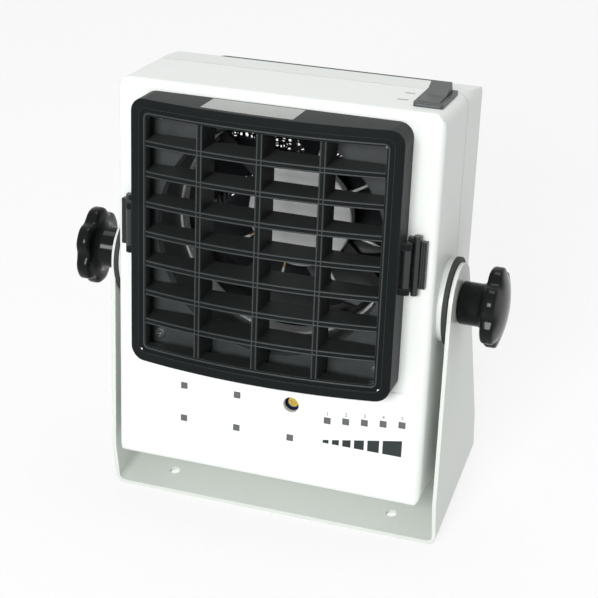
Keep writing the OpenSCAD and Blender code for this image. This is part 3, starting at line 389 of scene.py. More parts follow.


# %% [markdown]
# ## The finishes
#
# The housing is a cool white ABS with a fine satin texture. The louver, the latches and the fan are glass-
# filled black plastic; their sharp edges are painted grey, partly as wear and partly as a painted highlight
# where the edges catch light. The knobs are polished phenolic, so they mirror the tent. The stand has a
# powder coat: a thin glossy skin with a faint orange peel, and its sheet edges carry a painted highlight.

# %% Plastics and paint
MATERIALS = {
    "shell_white": finish("shell_white", (0.86, 0.885, 0.865), 0.42, tone=0.012, bump=0.12,
                          edge_radius=0.0012, edge_share=0.0),
    "overlay_white": finish("overlay_white", (0.91, 0.925, 0.925), 0.34, tone=0.008, bump=0.05,
                            edge_radius=0.0001, edge_tint=(0.72, 0.75, 0.74), edge_share=0.6),
    # The stand's near-white edge tint is a painted highlight along the bent sheet's edges.
    "stand_paint": finish("stand_paint", (0.74, 0.775, 0.735), 0.38, tone=0.02, grain=600.0, bump=0.25,
                          edge_radius=0.0006, edge_tint=(0.93, 0.95, 0.93), edge_share=0.8, coat=0.15),
    "boss_plastic": finish("boss_plastic", (0.74, 0.77, 0.74), 0.45, tone=0.02, edge_radius=0.0005),
    "washer_rubber": finish("washer_rubber", (0.022, 0.023, 0.023), 0.7, tone=0.2, grain=2500.0, bump=0.3,
                            edge_radius=0.0004),
    "knob_black": finish("knob_black", (0.005, 0.006, 0.006), 0.15, tone=0.1, rough_change=0.03, bump=0.02,
                         edge_radius=0.0003, edge_share=0.1, specular=0.16, grain=500.0),
    # The louver's grey edge tint is partly wear and partly a painted highlight on the slat and upright edges.
    "louver_black": finish("louver_black", (0.0075, 0.0095, 0.0098), 0.46, tone=0.35, rough_change=0.12,
                           grain=1300.0, bump=0.6, depth=0.00004, edge_radius=0.0005,
                           edge_tint=(0.075, 0.082, 0.081), edge_share=0.8, specular=0.08, sheen=0.07),
    # louver_edge is a lighter copy of the louver's black; on the beads its lighter colour is a painted highlight.
    "louver_edge": finish("louver_edge", (0.045, 0.052, 0.052), 0.4, tone=0.4, rough_change=0.1, grain=1300.0,
                          bump=0.5, edge_share=0.0, specular=0.3),
    "latch_black": finish("latch_black", (0.018, 0.02, 0.021), 0.3, tone=0.15, bump=0.15, edge_radius=0.0005,
                          edge_tint=(0.07, 0.075, 0.075)),
    "switch_black": finish("switch_black", (0.05, 0.053, 0.055), 0.4, tone=0.15, bump=0.2, edge_radius=0.0004,
                           edge_tint=(0.14, 0.145, 0.145)),
    "rocker_black": finish("rocker_black", (0.075, 0.079, 0.08), 0.42, tone=0.12, bump=0.2,
                           edge_radius=0.0005, edge_tint=(0.18, 0.185, 0.185)),
    "duct_grey": finish("duct_grey", (0.046, 0.052, 0.053), 0.48, tone=0.5, rough_change=0.12, grain=1300.0,
                        bump=0.45, depth=0.00003, edge_radius=0.0004, tone_scale=90.0),
    "emitter_white": finish("emitter_white", (0.95, 0.955, 0.96), 0.3, tone=0.02, bump=0.08,
                            edge_radius=0.0005, edge_share=0.2),
    "fan_black": finish("fan_black", (0.02, 0.021, 0.023), 0.45, tone=0.2, bump=0.25),
    "impeller_black": finish("impeller_black", (0.022, 0.024, 0.027), 0.38, tone=0.2, bump=0.2,
                             edge_radius=0.0004),
    "filter_black": finish("filter_black", (0.022, 0.023, 0.025), 0.5, tone=0.2, bump=0.35,
                           edge_radius=0.0005, edge_tint=(0.07, 0.072, 0.074)),
    "foam": finish("foam", (0.03, 0.031, 0.032), 0.75, tone=0.3, bump=0.3, edge_share=0.0),
    "light_window": finish("light_window", (0.115, 0.122, 0.12), 0.22, tone=0.1, bump=0.05,
                           edge_radius=0.0003, edge_tint=(0.2, 0.21, 0.21)),
    "trimmer_blue": finish("trimmer_blue", (0.012, 0.022, 0.09), 0.25, tone=0.1, edge_radius=0.0002),
    "trimmer_yellow": finish("trimmer_yellow", (0.62, 0.45, 0.07), 0.4, tone=0.12, edge_radius=0.0002),
    "module_black": finish("module_black", (0.018, 0.018, 0.024), 0.25, tone=0.15),
    "jack_black": finish("jack_black", (0.02, 0.02, 0.021), 0.4, tone=0.15, edge_radius=0.0004),
    "board_green": finish("board_green", (0.015, 0.13, 0.055), 0.3, tone=0.15, grain=900.0, coat=0.3),
    "magnet": finish("magnet", (0.055, 0.052, 0.05), 0.6, tone=0.2, bump=0.3),
}
print(len(MATERIALS), "plastics and paints")

# %% [markdown]
# Metals differ from plastics in one way that matters: their colour is in the reflection. Zinc on screws is
# grey and slightly rough, stainless needles are bright, brass is warm and the copper windings are lacquered.

# %% Metals
MATERIALS.update({
    "steel": finish("steel", (0.62, 0.63, 0.64), 0.3, tone=0.08, rough_change=0.1, metal=1.0,
                    edge_radius=0.0002),
    "dark_steel": finish("dark_steel", (0.16, 0.165, 0.17), 0.38, tone=0.12, metal=1.0, edge_radius=0.0002),
    "stainless": finish("stainless", (0.9, 0.905, 0.9), 0.3, tone=0.04, metal=0.2, edge_radius=0.0001),
    "brass": finish("brass", (0.7, 0.52, 0.24), 0.28, tone=0.08, metal=1.0, edge_radius=0.0002),
    "copper": finish("copper", (0.6, 0.27, 0.12), 0.35, tone=0.15, metal=1.0, grain=2500.0, bump=0.5),
    "lamination": finish("lamination", (0.3, 0.3, 0.31), 0.45, tone=0.15, metal=1.0, grain=2500.0, bump=0.4),
})

slot_of = {part["node"]: part["material_slot"] for part in frame["record"]["subparts"]}
for name, obj in nodes.items():
    obj.data.materials.clear()
    obj.data.materials.append(MATERIALS[slot_of[name]])
print("nodes with a finish:", len(nodes))

# %% [markdown]
# ## Making pieces
#
# Every added piece is drawn in the housing's frame in millimetres, which are the numbers a maker would
# measure, and then brought into the room by one matrix. Three small tools are enough for most of them: a
# loft through closed rings, a turned form, and a prism with a flat outline. Each gives a closed mesh whose
# faces point outwards.

# %% Adding a piece
def add_piece(name, mesh, slot, body, smooth=35.0, look=None):
    """Brings a mesh from the housing's frame (mm) into the room, and gives it its finish and its body.

    The finish is the slot's own, or look where a piece has one of its own.
    """
    mesh.transform(HEAD @ Matrix.Scale(MM, 4))
    mesh.materials.clear()
    mesh.materials.append(MATERIALS[look or slot])
    piece = bpy.data.objects.new(name, mesh)
    scene.collection.objects.link(piece)
    for polygon in mesh.polygons:
        polygon.use_smooth = True
    mesh.set_sharp_from_angle(angle=math.radians(smooth))
    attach(piece, body)
    print(f"{name}: {len(mesh.polygons)} faces on {body}")
    return piece


# %% Closed meshes
def mesh_from(name, build):
    """Closed mesh with outward faces; build(bm) draws it."""
    bm = bmesh.new()
    build(bm)
    bmesh.ops.remove_doubles(bm, verts=bm.verts, dist=0.001)
    bmesh.ops.recalc_face_normals(bm, faces=bm.faces)
    mesh = bpy.data.meshes.new(name)
    bm.to_mesh(mesh)
    bm.free()
    return mesh


def loft(bm, rings, closed=False):
    """Skin through rings of points; the ends are capped unless the rings close on themselves."""
    rows = [[bm.verts.new(point) for point in ring] for ring in rings]
    pairs = list(zip(rows, rows[1:])) + ([(rows[-1], rows[0])] if closed else [])
    for near, far in pairs:
        for i in range(len(near)):
            j = (i + 1) % len(near)
            bm.faces.new((near[i], near[j], far[j], far[i]))
    if not closed:
        bm.faces.new(rows[0][::-1])
        bm.faces.new(rows[-1])


def prism(bm, outline, depth):
    """Solid from a flat outline, deepened by a vector."""
    loft(bm, [outline, [point + depth for point in outline]])


def turned(bm, profile, centre, axis, segments=64, lobe=None):
    """Form turned about the axis "x" or "y" from (along, radius) points; lobe(angle, radius) may shape it."""
    rings = []
    for along, radius in profile:
        ring = []
        for k in range(segments):
            angle = 2 * math.pi * k / segments
            r = lobe(angle, radius) if lobe else radius
            across = (r * math.cos(angle), r * math.sin(angle))
            local = Vector((along, *across)) if axis == "x" else Vector((across[0], along, across[1]))
            ring.append(centre + local)
        rings.append(ring)
    loft(bm, rings)


# %% [markdown]
# ## Measures taken from the frame
#
# The louver's box gives its front, its height and its middle. The barrel is part of a cylinder about an
# upright axis, so one radius tells how far any point of the front lies behind its foremost line.

# %% The louver's form
louver_low, louver_high = [corner / MM for corner in head_box("louver")]
LOUVER = louver_high.z - louver_low.z
FAN_Z = (louver_high.z + louver_low.z) / 2
BULGE = 7.5
BARREL_R = ((LOUVER / 2) ** 2 + BULGE ** 2) / (2 * BULGE)
WINDOW = 116.0
SLAT = 3.0
ROWS = 8
COLUMNS = 4
FIELD_STEP = 0.9
ROW_PITCH = (WINDOW + SLAT) / ROWS
COLUMN_PITCH = (WINDOW + SLAT) / COLUMNS


def barrel_y(x, step=0.0):
    """How far back the louver's front lies at a given X."""
    return louver_low.y + step + BARREL_R - math.sqrt(BARREL_R ** 2 - x ** 2)


print("louver", round(LOUVER, 1), "mm, barrel radius", round(BARREL_R, 1), "mm")

# %% [markdown]
# ## Geometry Nodes for what repeats
#
# Geometry Nodes are made in a script as shader nodes are: add a node, set its inputs, link it. A small class
# keeps that short, and holds the two steps that several trees share: laying a point on the barrel, and
# skinning a path with a round section. A tree is run once, and its result becomes a plain mesh, because
# instances are lost when the model is exported.

# %% A helper for trees
FLOAT = "NodeSocketFloat"
INT = "NodeSocketInt"
MATERIAL = "NodeSocketMaterial"


class Tree:
    """Small help for building a Geometry Nodes tree; inputs is {name: (kind, default)}."""

    def __init__(self, name, inputs):
        self.tree = bpy.data.node_groups.new(name, "GeometryNodeTree")
        self.sockets = {}
        for label, (kind, value) in inputs.items():
            socket = self.tree.interface.new_socket(label, in_out="INPUT", socket_type=kind)
            if value is not None:
                socket.default_value = value
            self.sockets[label] = socket.identifier
        self.tree.interface.new_socket("Geometry", in_out="OUTPUT", socket_type="NodeSocketGeometry")
        self.given = self.tree.nodes.new("NodeGroupInput").outputs
        self.out = self.tree.nodes.new("NodeGroupOutput")

    def add(self, kind, wires=None, **settings):
        """New node; wires gives its inputs as sockets or plain values."""
        node = self.tree.nodes.new(kind)
        for key, value in settings.items():
            setattr(node, key, value)
        for key, value in (wires or {}).items():
            if isinstance(value, bpy.types.NodeSocket):
                self.tree.links.new(value, node.inputs[key])
            else:
                node.inputs[key].default_value = value
        return node

    def math(self, operation, first, second=0.0):
        """One sum with one or two values."""
        return self.add("ShaderNodeMath", {0: first, 1: second}, operation=operation).outputs[0]

    def vector(self, **parts):
        """Vector from some of X, Y and Z; the others are 0."""
        return self.add("ShaderNodeCombineXYZ", parts).outputs[0]

    def barrel_offset(self, radius):
        """How far back a point moves to lie on a barrel of that radius, from the point's own X."""
        place = self.add("GeometryNodeInputPosition").outputs[0]
        x = self.add("ShaderNodeSeparateXYZ", {"Vector": place}).outputs["X"]
        inside = self.math("SUBTRACT", self.math("POWER", radius, 2.0), self.math("MULTIPLY", x, x))
        return self.vector(Y=self.math("SUBTRACT", radius, self.math("SQRT", inside)))

    def skin(self, path, radius, resolution=8):
        """Round section along a path, closed at the ends."""
        section = self.add("GeometryNodeCurvePrimitiveCircle", {"Resolution": resolution, "Radius": radius})
        return self.add("GeometryNodeCurveToMesh", {
            "Curve": path, "Profile Curve": section.outputs[0], "Fill Caps": True,
        }).outputs[0]

    def finish(self, geometry):
        """Ends the tree with real geometry that has a material."""
        real = self.add("GeometryNodeRealizeInstances", {"Geometry": geometry}).outputs[0]
        dressed = self.add("GeometryNodeSetMaterial", {"Geometry": real, "Material": self.given["Material"]})
        self.tree.links.new(dressed.outputs[0], self.out.inputs[0])
        return self


# %% Running a tree
def grow(name, tree, values):
    """Runs a tree once and returns what it made as a plain mesh."""
    holder = bpy.data.objects.new(name, bpy.data.meshes.new(name + "_seed"))
    scene.collection.objects.link(holder)
    modifier = holder.modifiers.new("grow", "NODES")
    modifier.node_group = tree.tree
    for label, value in values.items():
        modifier[tree.sockets[label]] = value
    bpy.context.view_layer.update()
    graph = bpy.context.evaluated_depsgraph_get()
    mesh = bpy.data.meshes.new_from_object(holder.evaluated_get(graph))
    holder.modifiers.clear()
    bpy.data.objects.remove(holder)
    mesh.name = name
    return mesh


def moved(mesh, x, y, z):
    """Shifts a mesh in the housing's frame."""
    mesh.transform(Matrix.Translation((x, y, z)))
    return mesh


# %% [markdown]
# ## Beads on the louver
#
# The front edge of every slat and upright carries two fine beads with a groove between them, which is what
# makes the grille look moulded and not cut. They could be modelled one by one, but all slats follow the same
# barrel, so one tree bends a single bead and sets it on a column of points. The uprights are straight, so
# their tree bends the row of points instead. Count, pitch and radius are inputs, and each tree serves both
# beads of its edge.

# %% Tree for the slats' beads
def slat_bead_tree():
    """A bead that follows the barrel, repeated up the louver."""
    tree = Tree("slat_beads", {
        "Half Width": (FLOAT, 59.0), "Barrel Radius": (FLOAT, 294.0), "Bead Radius": (FLOAT, 0.35),
        "Pitch": (FLOAT, 15.0), "Count": (INT, 7), "Material": (MATERIAL, None),
    })
    given = tree.given
    line = tree.add("GeometryNodeCurvePrimitiveLine", {
        "Start": tree.vector(X=tree.math("MULTIPLY", given["Half Width"], -1.0)),
        "End": tree.vector(X=given["Half Width"]),
    })
    fine = tree.add("GeometryNodeResampleCurve", {"Curve": line.outputs[0], "Count": 33})
    bent = tree.add("GeometryNodeSetPosition", {
        "Geometry": fine.outputs[0], "Offset": tree.barrel_offset(given["Barrel Radius"]),
    })
    bead = tree.skin(bent.outputs[0], given["Bead Radius"])
    column = tree.add("GeometryNodeMeshLine", {
        "Count": given["Count"], "Offset": tree.vector(Z=given["Pitch"]),
    })
    many = tree.add("GeometryNodeInstanceOnPoints", {"Points": column.outputs[0], "Instance": bead})
    return tree.finish(many.outputs[0])


slats = slat_bead_tree()
print("slat beads:", len(slats.tree.nodes), "nodes")


# %% Tree for the uprights' beads
def upright_bead_tree():
    """A straight upright bead, repeated across the barrel."""
    tree = Tree("upright_beads", {
        "Half Height": (FLOAT, 59.0), "Barrel Radius": (FLOAT, 294.0), "Bead Radius": (FLOAT, 0.35),
        "First": (FLOAT, 0.0), "Pitch": (FLOAT, 30.0), "Count": (INT, 3), "Material": (MATERIAL, None),
    })
    given = tree.given
    line = tree.add("GeometryNodeCurvePrimitiveLine", {
        "Start": tree.vector(Z=tree.math("MULTIPLY", given["Half Height"], -1.0)),
        "End": tree.vector(Z=given["Half Height"]),
    })
    bead = tree.skin(line.outputs[0], given["Bead Radius"])
    row = tree.add("GeometryNodeMeshLine", {
        "Count": given["Count"], "Start Location": tree.vector(X=given["First"]),
        "Offset": tree.vector(X=given["Pitch"]),
    })
    bent = tree.add("GeometryNodeSetPosition", {
        "Geometry": row.outputs[0], "Offset": tree.barrel_offset(given["Barrel Radius"]),
    })
    many = tree.add("GeometryNodeInstanceOnPoints", {"Points": bent.outputs[0], "Instance": bead})
    return tree.finish(many.outputs[0])


uprights = upright_bead_tree()
print("upright beads:", len(uprights.tree.nodes), "nodes")

# %% Beads on slats and uprights
BEAD_R = 0.32
BEAD_INSET = 0.45
field_y = louver_low.y + FIELD_STEP
lowest_slat = FAN_Z - WINDOW / 2 + ROW_PITCH - SLAT
first_upright = -WINDOW / 2 + COLUMN_PITCH - SLAT
# The beads wear louver_edge, whose lighter colour is a painted highlight along the slat and upright fronts.
bead_values = {"Barrel Radius": BARREL_R, "Bead Radius": BEAD_R, "Material": MATERIALS["louver_edge"]}

for name, up in (("slat_beads_lower", BEAD_INSET), ("slat_beads_upper", SLAT - BEAD_INSET)):
    beads = grow(name, slats, {
        **bead_values, "Half Width": WINDOW / 2, "Pitch": ROW_PITCH, "Count": ROWS - 1,
    })
    add_piece(name, moved(beads, 0, field_y, lowest_slat + up), "louver_black", "louver", look="louver_edge")

for name, along in (("upright_beads_left", BEAD_INSET), ("upright_beads_right", SLAT - BEAD_INSET)):
    beads = grow(name, uprights, {
        **bead_values, "Half Height": WINDOW / 2, "First": first_upright + along, "Pitch": COLUMN_PITCH,
        "Count": COLUMNS - 1,
    })
    add_piece(name, moved(beads, 0, field_y, FAN_Z), "louver_black", "louver", look="louver_edge")

# %% [markdown]
# A second bead runs round the window like a picture frame, with round corners. It lies on the barrel too,
# so each of its points asks the barrel for its depth. Two small pips at the lower corners are where the
# mould's ejector pins pushed the part out.

# %% Window bead
FRAME_GAP = 1.1
FRAME_CORNER = 2.5
FRAME_BEAD_R = 0.4
BEAD_SIDES = 8


def rounded_frame(half, radius, steps):
    """X and Z of a square with round corners, anticlockwise."""
    points = []
    for corner in range(4):
        for k in range(steps + 1):
            angle = math.pi / 2 * (corner + k / steps)
            sign_x, sign_z = [(1, 1), (-1, 1), (-1, -1), (1, -1)][corner]
            points.append((sign_x * (half - radius) + radius * math.cos(angle),
                           sign_z * (half - radius) + radius * math.sin(angle)))
    return points


def along_barrel(points, longest):
    """Splits long straight runs, so that the path can follow the barrel."""
    fine = []
    for (x0, z0), (x1, z1) in zip(points, points[1:] + points[:1]):
        parts = max(1, math.ceil(math.hypot(x1 - x0, z1 - z0) / longest))
        fine += [(x0 + (x1 - x0) * k / parts, z0 + (z1 - z0) * k / parts) for k in range(parts)]
    return fine


def window_bead(bm):
    """Rounded bead round the window, lying on the barrel."""
    path = along_barrel(rounded_frame(WINDOW / 2 + FRAME_GAP, FRAME_CORNER, 5), 5.0)
    angles = [2 * math.pi * k / BEAD_SIDES for k in range(BEAD_SIDES)]
    rings = []
    for index, (x, z) in enumerate(path):
        before = path[index - 1]
        after = path[(index + 1) % len(path)]
        along = Vector((after[0] - before[0], 0, after[1] - before[1])).normalized()
        outward = Vector((along.z, 0, -along.x))
        here = Vector((x, barrel_y(x, FIELD_STEP), FAN_Z + z))
        rings.append([
            here + FRAME_BEAD_R * (outward * math.cos(a) + Vector((0, math.sin(a), 0))) for a in angles
        ])
    loft(bm, rings, closed=True)


# The window bead's lighter louver_edge colour is a painted highlight, as on the other beads.
add_piece("window_bead", mesh_from("window_bead", window_bead), "louver_black", "louver", look="louver_edge")

# %% Moulding pips
PIP_INSET = 5.6
PIP_PROFILE = [(-0.45, 0.25), (-0.35, 0.6), (0.3, 0.6)]


def moulding_pips(bm):
    """Two small round pips on the border."""
    place = LOUVER / 2 - PIP_INSET
    for x in (-place, place):
        centre = Vector((x, barrel_y(x, FIELD_STEP), FAN_Z - place))
        turned(bm, PIP_PROFILE, centre, "y", segments=16)


add_piece("moulding_pips", mesh_from("moulding_pips", moulding_pips), "stainless", "louver")

# %% [markdown]
# A bare silver sticker lies on top of the louver, where such a blower carries a caution note. It stays
# blank here. It is a thin plate whose front edge repeats the curve of the barrel.

# %% Blank sticker
MATERIALS["sticker"] = finish(
    "sticker", (0.4, 0.41, 0.4), 0.35, tone=0.08, metal=0.35, bump=0.1, edge_radius=0.0001
)
STICKER_LEFT = -30.0
STICKER_RIGHT = 15.0
STICKER_T = 0.12
STICKER_STEPS = 12


def sticker(bm):
    """Thin plate on the louver's upper side."""
    wide = STICKER_RIGHT - STICKER_LEFT
    xs = [STICKER_LEFT + wide * k / STICKER_STEPS for k in range(STICKER_STEPS + 1)]
    top = FAN_Z + LOUVER / 2
    outline = [Vector((x, barrel_y(x) + 2.5, top)) for x in xs]
    outline += [Vector((x, louver_high.y - 1.5, top)) for x in reversed(xs)]
    prism(bm, outline, Vector((0, 0, STICKER_T)))


add_piece("blank_sticker", mesh_from("blank_sticker", sticker), "louver_black", "louver", look="sticker")

# %% [markdown]
# ## The dust filter's web
#
# The filter is open foam: an irregular web of thin struts that you can see through. A jittered grid of
# points is triangulated, and its dual mesh gives cells with five to seven sides. The edges of those cells
# become struts. The random jitter has a fixed seed, so the web is the same each time.

# %% Tree for the web
def foam_tree():
    """Irregular cells whose edges are struts."""
    tree = Tree("foam_web", {
        "Width": (FLOAT, 100.0), "Cells": (INT, 30), "Jitter": (FLOAT, 1.0), "Strut Radius": (FLOAT, 0.4),
        "Seed": (INT, 4), "Material": (MATERIAL, None),
    })
    given = tree.given
    grid = tree.add("GeometryNodeMeshGrid", {
        "Size X": given["Width"], "Size Y": given["Width"],
        "Vertices X": given["Cells"], "Vertices Y": given["Cells"],
    })
    scatter = tree.add("FunctionNodeRandomValue", {"Seed": given["Seed"]}, data_type="FLOAT_VECTOR")
    scatter.inputs[0].default_value = (-1, -1, -0.6)
    scatter.inputs[1].default_value = (1, 1, 0.6)
    shift = tree.add("ShaderNodeVectorMath", {
        0: scatter.outputs[0], "Scale": given["Jitter"],
    }, operation="SCALE")
    loose = tree.add("GeometryNodeSetPosition", {"Geometry": grid.outputs[0], "Offset": shift.outputs[0]})
    corners = tree.add("GeometryNodeTriangulate", {"Mesh": loose.outputs[0]})
    cells = tree.add("GeometryNodeDualMesh", {"Mesh": corners.outputs[0]})
    edges = tree.add("GeometryNodeMeshToCurve", {"Mesh": cells.outputs[0]})
    return tree.finish(tree.skin(edges.outputs[0], given["Strut Radius"], resolution=5))


foam = foam_tree()
print("foam web:", len(foam.tree.nodes), "nodes")

# %% Three layers of web
WEB_LAYERS = (0.2, 0.5, 0.8)
WEB_MARGIN = 1.0
FIRST_SEED = 4
media_low, media_high = [corner / MM for corner in head_box("filter_media")]
for index, share in enumerate(WEB_LAYERS):
    name = f"filter_web_{index + 1}"
    web = grow(name, foam, {
        "Width": media_high.x - media_low.x - 2 * WEB_MARGIN, "Cells": 32, "Jitter": 1.2,
        "Strut Radius": 0.5, "Seed": FIRST_SEED + index, "Material": MATERIALS["foam"],
    })
    web.transform(Matrix.Rotation(math.pi / 2, 4, "X"))
    depth = media_low.y + share * (media_high.y - media_low.y)
    add_piece(name, moved(web, 0, depth, FAN_Z), "foam", "filter")
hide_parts("filter_media")

# %% [markdown]
# ## The fan wheel
#
# A fan blade is a thin strip that sweeps round as it runs outwards and twists from front to rear. One blade
# is lofted from sections between the hub and the tip, each with a rounded outline. Geometry Nodes then set
# seven of them round the axis. The hub is a cup turned about the same axis, with its rim rounded.

# %% One blade
wheel_low, wheel_high = [corner / MM for corner in head_box("fan_impeller")]
BLADES = 7
HUB_R = 22.0
TIP_R = (wheel_high.x - wheel_low.x) / 2
SWEEP = math.radians(34)
TWIST = math.radians(42)
BLADE_T = 1.7
BLADE_SECTIONS = 14
BLADE_STEPS = 12
BLADE_ROOT = 1.0
TIP_GAP = 0.3
BLADE_FRONT = 1.0
BLADE_SHORTER = 3.5


def blade(bm):
    """One swept and twisted blade about the Z axis, its front at Z = 0."""
    height = wheel_high.y - wheel_low.y - BLADE_SHORTER
    root = HUB_R - BLADE_ROOT
    rings = []
    for k in range(BLADE_SECTIONS + 1):
        u = k / BLADE_SECTIONS
        radius = root + (TIP_R - TIP_GAP - root) * u
        thick = BLADE_T * (1.1 - 0.45 * u)
        outline = []
        for side, order in ((1, range(BLADE_STEPS + 1)), (-1, range(BLADE_STEPS, -1, -1))):
            for m in order:
                v = m / BLADE_STEPS
                half = side * thick / 2 * math.sqrt(max(1 - (2 * v - 1) ** 6, 0.02))
                angle = SWEEP * u ** 1.4 - TWIST * (1 - v) + 0.06 * math.sin(math.pi * v)
                outline.append(Vector((
                    radius * math.cos(angle) - half * math.sin(angle),
                    radius * math.sin(angle) + half * math.cos(angle),
                    height * v,
                )))
        rings.append(outline)
    loft(bm, rings)


blade_pattern = bpy.data.objects.new("blade_pattern", mesh_from("blade_pattern", blade))
scene.collection.objects.link(blade_pattern)
print("one blade:", len(blade_pattern.data.polygons), "faces")


# %% Seven blades
def wheel_tree():
    """Sets one blade on each point of a circle of turns."""
    tree = Tree("fan_wheel", {
        "Blade": ("NodeSocketObject", None), "Count": (INT, 7), "Material": (MATERIAL, None),
    })
    given = tree.given
    pattern = tree.add("GeometryNodeObjectInfo", {"Object": given["Blade"]})
    spots = tree.add("GeometryNodeMeshLine", {"Count": given["Count"], "Offset": (0.0, 0.0, 0.0)})
    turn = tree.math("DIVIDE", 2 * math.pi, given["Count"])
    angle = tree.math("MULTIPLY", tree.add("GeometryNodeInputIndex").outputs[0], turn)
    spin = tree.add("ShaderNodeCombineXYZ", {"Z": angle})
    many = tree.add("GeometryNodeInstanceOnPoints", {
        "Points": spots.outputs[0], "Instance": pattern.outputs["Geometry"], "Rotation": spin.outputs[0],
    })
    return tree.finish(many.outputs[0])


wheel = grow("fan_blades", wheel_tree(), {
    "Blade": blade_pattern, "Count": BLADES, "Material": MATERIALS["impeller_black"],
})
bpy.data.objects.remove(blade_pattern)
# Z of the blade becomes the air stream's Y; a mirror keeps X and Z as the CAD wheel has them
wheel.transform(Matrix(((1, 0, 0, 0), (0, 0, 1, 0), (0, 1, 0, 0), (0, 0, 0, 1))))
wheel.flip_normals()
wheel = moved(wheel, 0, wheel_low.y + BLADE_FRONT, FAN_Z)
blades = add_piece("fan_blades", wheel, "impeller_black", "fan_rotor")
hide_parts("fan_impeller")

# %% Hub of the fan wheel
CUP_WALL = 1.6


def hub_cup(bm):
    """Cup of the fan wheel, open towards the motor plate."""
    length = wheel_high.y - wheel_low.y
    bore = HUB_R - CUP_WALL
    profile = [
        (length - 0.001, 0.5), (length, HUB_R - 3), (length - 0.9, HUB_R - 0.9), (length - 3, HUB_R),
        (0.4, HUB_R), (0, HUB_R - 0.4), (0, bore), (length - 2, bore), (length - 2.001, 0.5),
    ]
    turned(bm, profile, Vector((0, wheel_low.y, FAN_Z)), "y", segments=96)


add_piece("fan_hub", mesh_from("fan_hub", hub_cup), "impeller_black", "fan_rotor")

# %% [markdown]
# ## Clamp knobs
#
# A clamp knob is moulded in one shot: a hub that flares into a lobed head with a shallow dome. It is a
# turned form whose radius swells and shrinks with the angle, so one profile and one lobe rule give it. The
# lobes fade out towards the hub and the middle of the dome. A glossy black form shows every flat spot in
# its reflections, so it gets plenty of segments.

# %% The knob's profile and lobes
KNOB_R = 20.0
KNOB_T = 10.0
GRIPS = 6
GRIP_DEPTH = 3.0
GRIP_START_R = 13.0
DOME_STEPS = 9


def knob_profile(start, hub_end, tip):
    """(along, radius) from the hub's face to the middle of the dome."""
    rim = tip - KNOB_T * 0.35
    points = [(start, 4.3), (start, 9.4), (start + 0.35, 10.2), (start + 1.1, 10.5)]
    points += [(hub_end - 3.0, 10.5), (hub_end - 1.6, 11.3), (hub_end - 0.5, 12.6), (hub_end - 0.05, 13.6)]
    points += [(hub_end, 16.5), (hub_end + 0.25, 18.6)]
    points += [(hub_end + 1.0, KNOB_R - 0.4), (hub_end + 2.0, KNOB_R)]
    points += [(rim - 1.1, KNOB_R), (rim - 0.3, KNOB_R - 0.35), (rim + 0.1, KNOB_R - 1.1)]
    dome_r = KNOB_R - 1.1
    for k in range(1, DOME_STEPS):
        radius = dome_r * (1 - k / DOME_STEPS)
        points.append((tip - (tip - rim - 0.1) * (radius / dome_r) ** 2, radius))
    return points + [(tip, 0.4)]


def lobed(angle, radius):
    """Radius with the grips scooped out, most of all at the rim."""
    scoop = (0.5 + 0.5 * math.cos(GRIPS * angle)) ** 2.2
    share = min(max((radius - GRIP_START_R) / (KNOB_R - GRIP_START_R), 0.0), 1.0)
    return radius - GRIP_DEPTH * scoop * share ** 1.5


print("knob:", 2 * KNOB_R, "mm across,", GRIPS, "grips")

# %% Two knobs
for side, name in ((1, "knob_right"), (-1, "knob_left")):
    low, high = [corner / MM for corner in head_box(name)]
    inner, outer = (low.x, high.x) if side > 0 else (-high.x, -low.x)

    def knob(bm, inner=inner, outer=outer, side=side):
        """Knob along X, mirrored for the left side."""
        profile = [(side * along, radius) for along, radius in knob_profile(inner, outer - KNOB_T, outer)]
        turned(bm, profile, Vector((0, 0, 0)), "x", segments=120, lobe=lobed)

    shape = mesh_from(name + "_moulding", knob)
    head_piece = add_piece(name + "_moulding", shape, "knob_black", name, smooth=50)
    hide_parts(name)

# %% [markdown]
# ## Print on the panel
#
# The sheet carries a row of six bars that grow to the right, for slow to fast, and plain numbers over the
# five lights beside it. Print is a film of ink. A texture would need an image or a mask for each mark, so
# each mark is a thin prism instead, a few hundredths of a millimetre proud of the sheet.

# %% Speed bars
MATERIALS["ink"] = finish("ink", (0.022, 0.03, 0.03), 0.5, tone=0.1, bump=0.05, edge_share=0.0, specular=0.3)
sheet_low = head_box("control_overlay")[0] / MM
SHELL_Z = head_box("front_shell")[0].z / MM
INK = 0.04
BAR_FOOT = SHELL_Z + 26.7
BAR_LEFT = 30.0
BAR_GAP = 1.75
BAR_LEAST = 1.5
BAR_SLOPE = 7.4 / 40.8
BAR_WIDTHS = [3.0 * 1.185 ** k for k in range(5)] + [9.6]


def speed_bars(bm):
    """Six bars, each wider and taller than the one before."""
    left = BAR_LEFT
    for width in BAR_WIDTHS:
        right = left + width
        rise = [BAR_LEAST + BAR_SLOPE * (x - BAR_LEFT) for x in (left, right)]
        outline = [(left, 0), (right, 0), (right, rise[1]), (left, rise[0])]
        prism(bm, [Vector((x, sheet_low.y - INK, BAR_FOOT + z)) for x, z in outline], Vector((0, INK, 0)))
        left = right + BAR_GAP


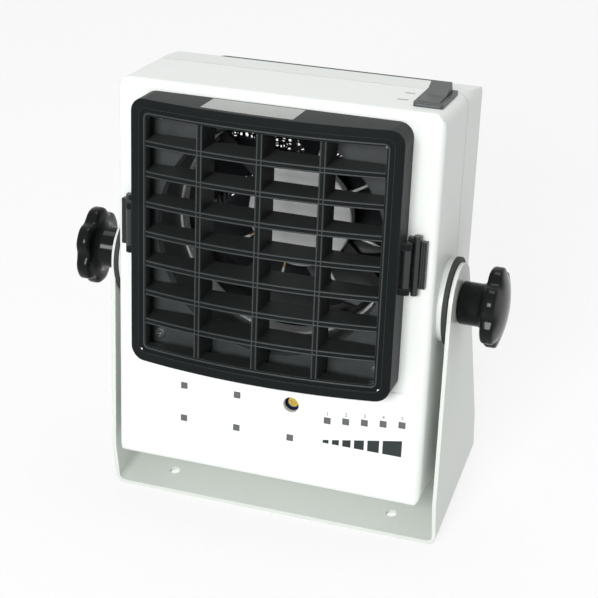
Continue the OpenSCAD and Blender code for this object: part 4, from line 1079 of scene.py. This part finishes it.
add_piece("speed_bars", mesh_from("speed_bars", speed_bars), "overlay_white", "head", look="ink")

# %% [markdown]
# Text starts as a curve with a little thickness. It becomes a mesh while it still lies flat at the origin,
# and only then is it turned into its place, so that the finished object stays unturned like every other.

# %% Numbers over the lights
LIGHT_LEFT = 31.8
LIGHT_PITCH = 9.4
LIGHT_FOOT = SHELL_Z + 39.0
LIGHT_RISE = 1.2
NUMBER_OVER = 3.6
NUMBER_SIZE = 2.6


def lettering(name, words, size, place, right, upward, body):
    """Printed text, centred on a place in the housing's frame; right and upward turn it."""
    curve = bpy.data.curves.new(name, "FONT")
    curve.body = words
    curve.size = size
    curve.align_x = "CENTER"
    curve.align_y = "CENTER"
    curve.extrude = INK / 2
    curve.resolution_u = 3
    maker = bpy.data.objects.new(name, curve)
    scene.collection.objects.link(maker)
    bpy.context.view_layer.update()
    mesh = bpy.data.meshes.new_from_object(maker.evaluated_get(bpy.context.evaluated_depsgraph_get()))
    bpy.data.objects.remove(maker)
    turn = Matrix((right, upward, right.cross(upward))).transposed().to_4x4()
    mesh.transform(Matrix.Translation(place) @ turn)
    add_piece(name, mesh, "overlay_white", body, look="ink")


for number in range(5):
    x = LIGHT_LEFT + LIGHT_PITCH * number
    z = LIGHT_FOOT + LIGHT_RISE * number + NUMBER_OVER
    lettering(f"speed_number_{number + 1}", str(number + 1), NUMBER_SIZE,
              Vector((x, sheet_low.y - INK / 2, z)), Vector((1, 0, 0)), Vector((0, 0, 1)), "head")

# %% Words beside the switch
SWITCH_WORDS = {"ON": 0.72, "OFF": 0.3}
WORD_SIZE = 3.0
WORD_GAP = 7.0
switch_low, switch_high = [corner / MM for corner in head_box("switch_body")]
shell_top = head_box("front_shell")[1].z / MM
for words, share in SWITCH_WORDS.items():
    y = switch_low.y + share * (switch_high.y - switch_low.y)
    lettering("switch_" + words.lower(), words, WORD_SIZE,
              Vector((switch_low.x - WORD_GAP, y, shell_top + INK / 2)),
              Vector((1, 0, 0)), Vector((0, 1, 0)), "head")
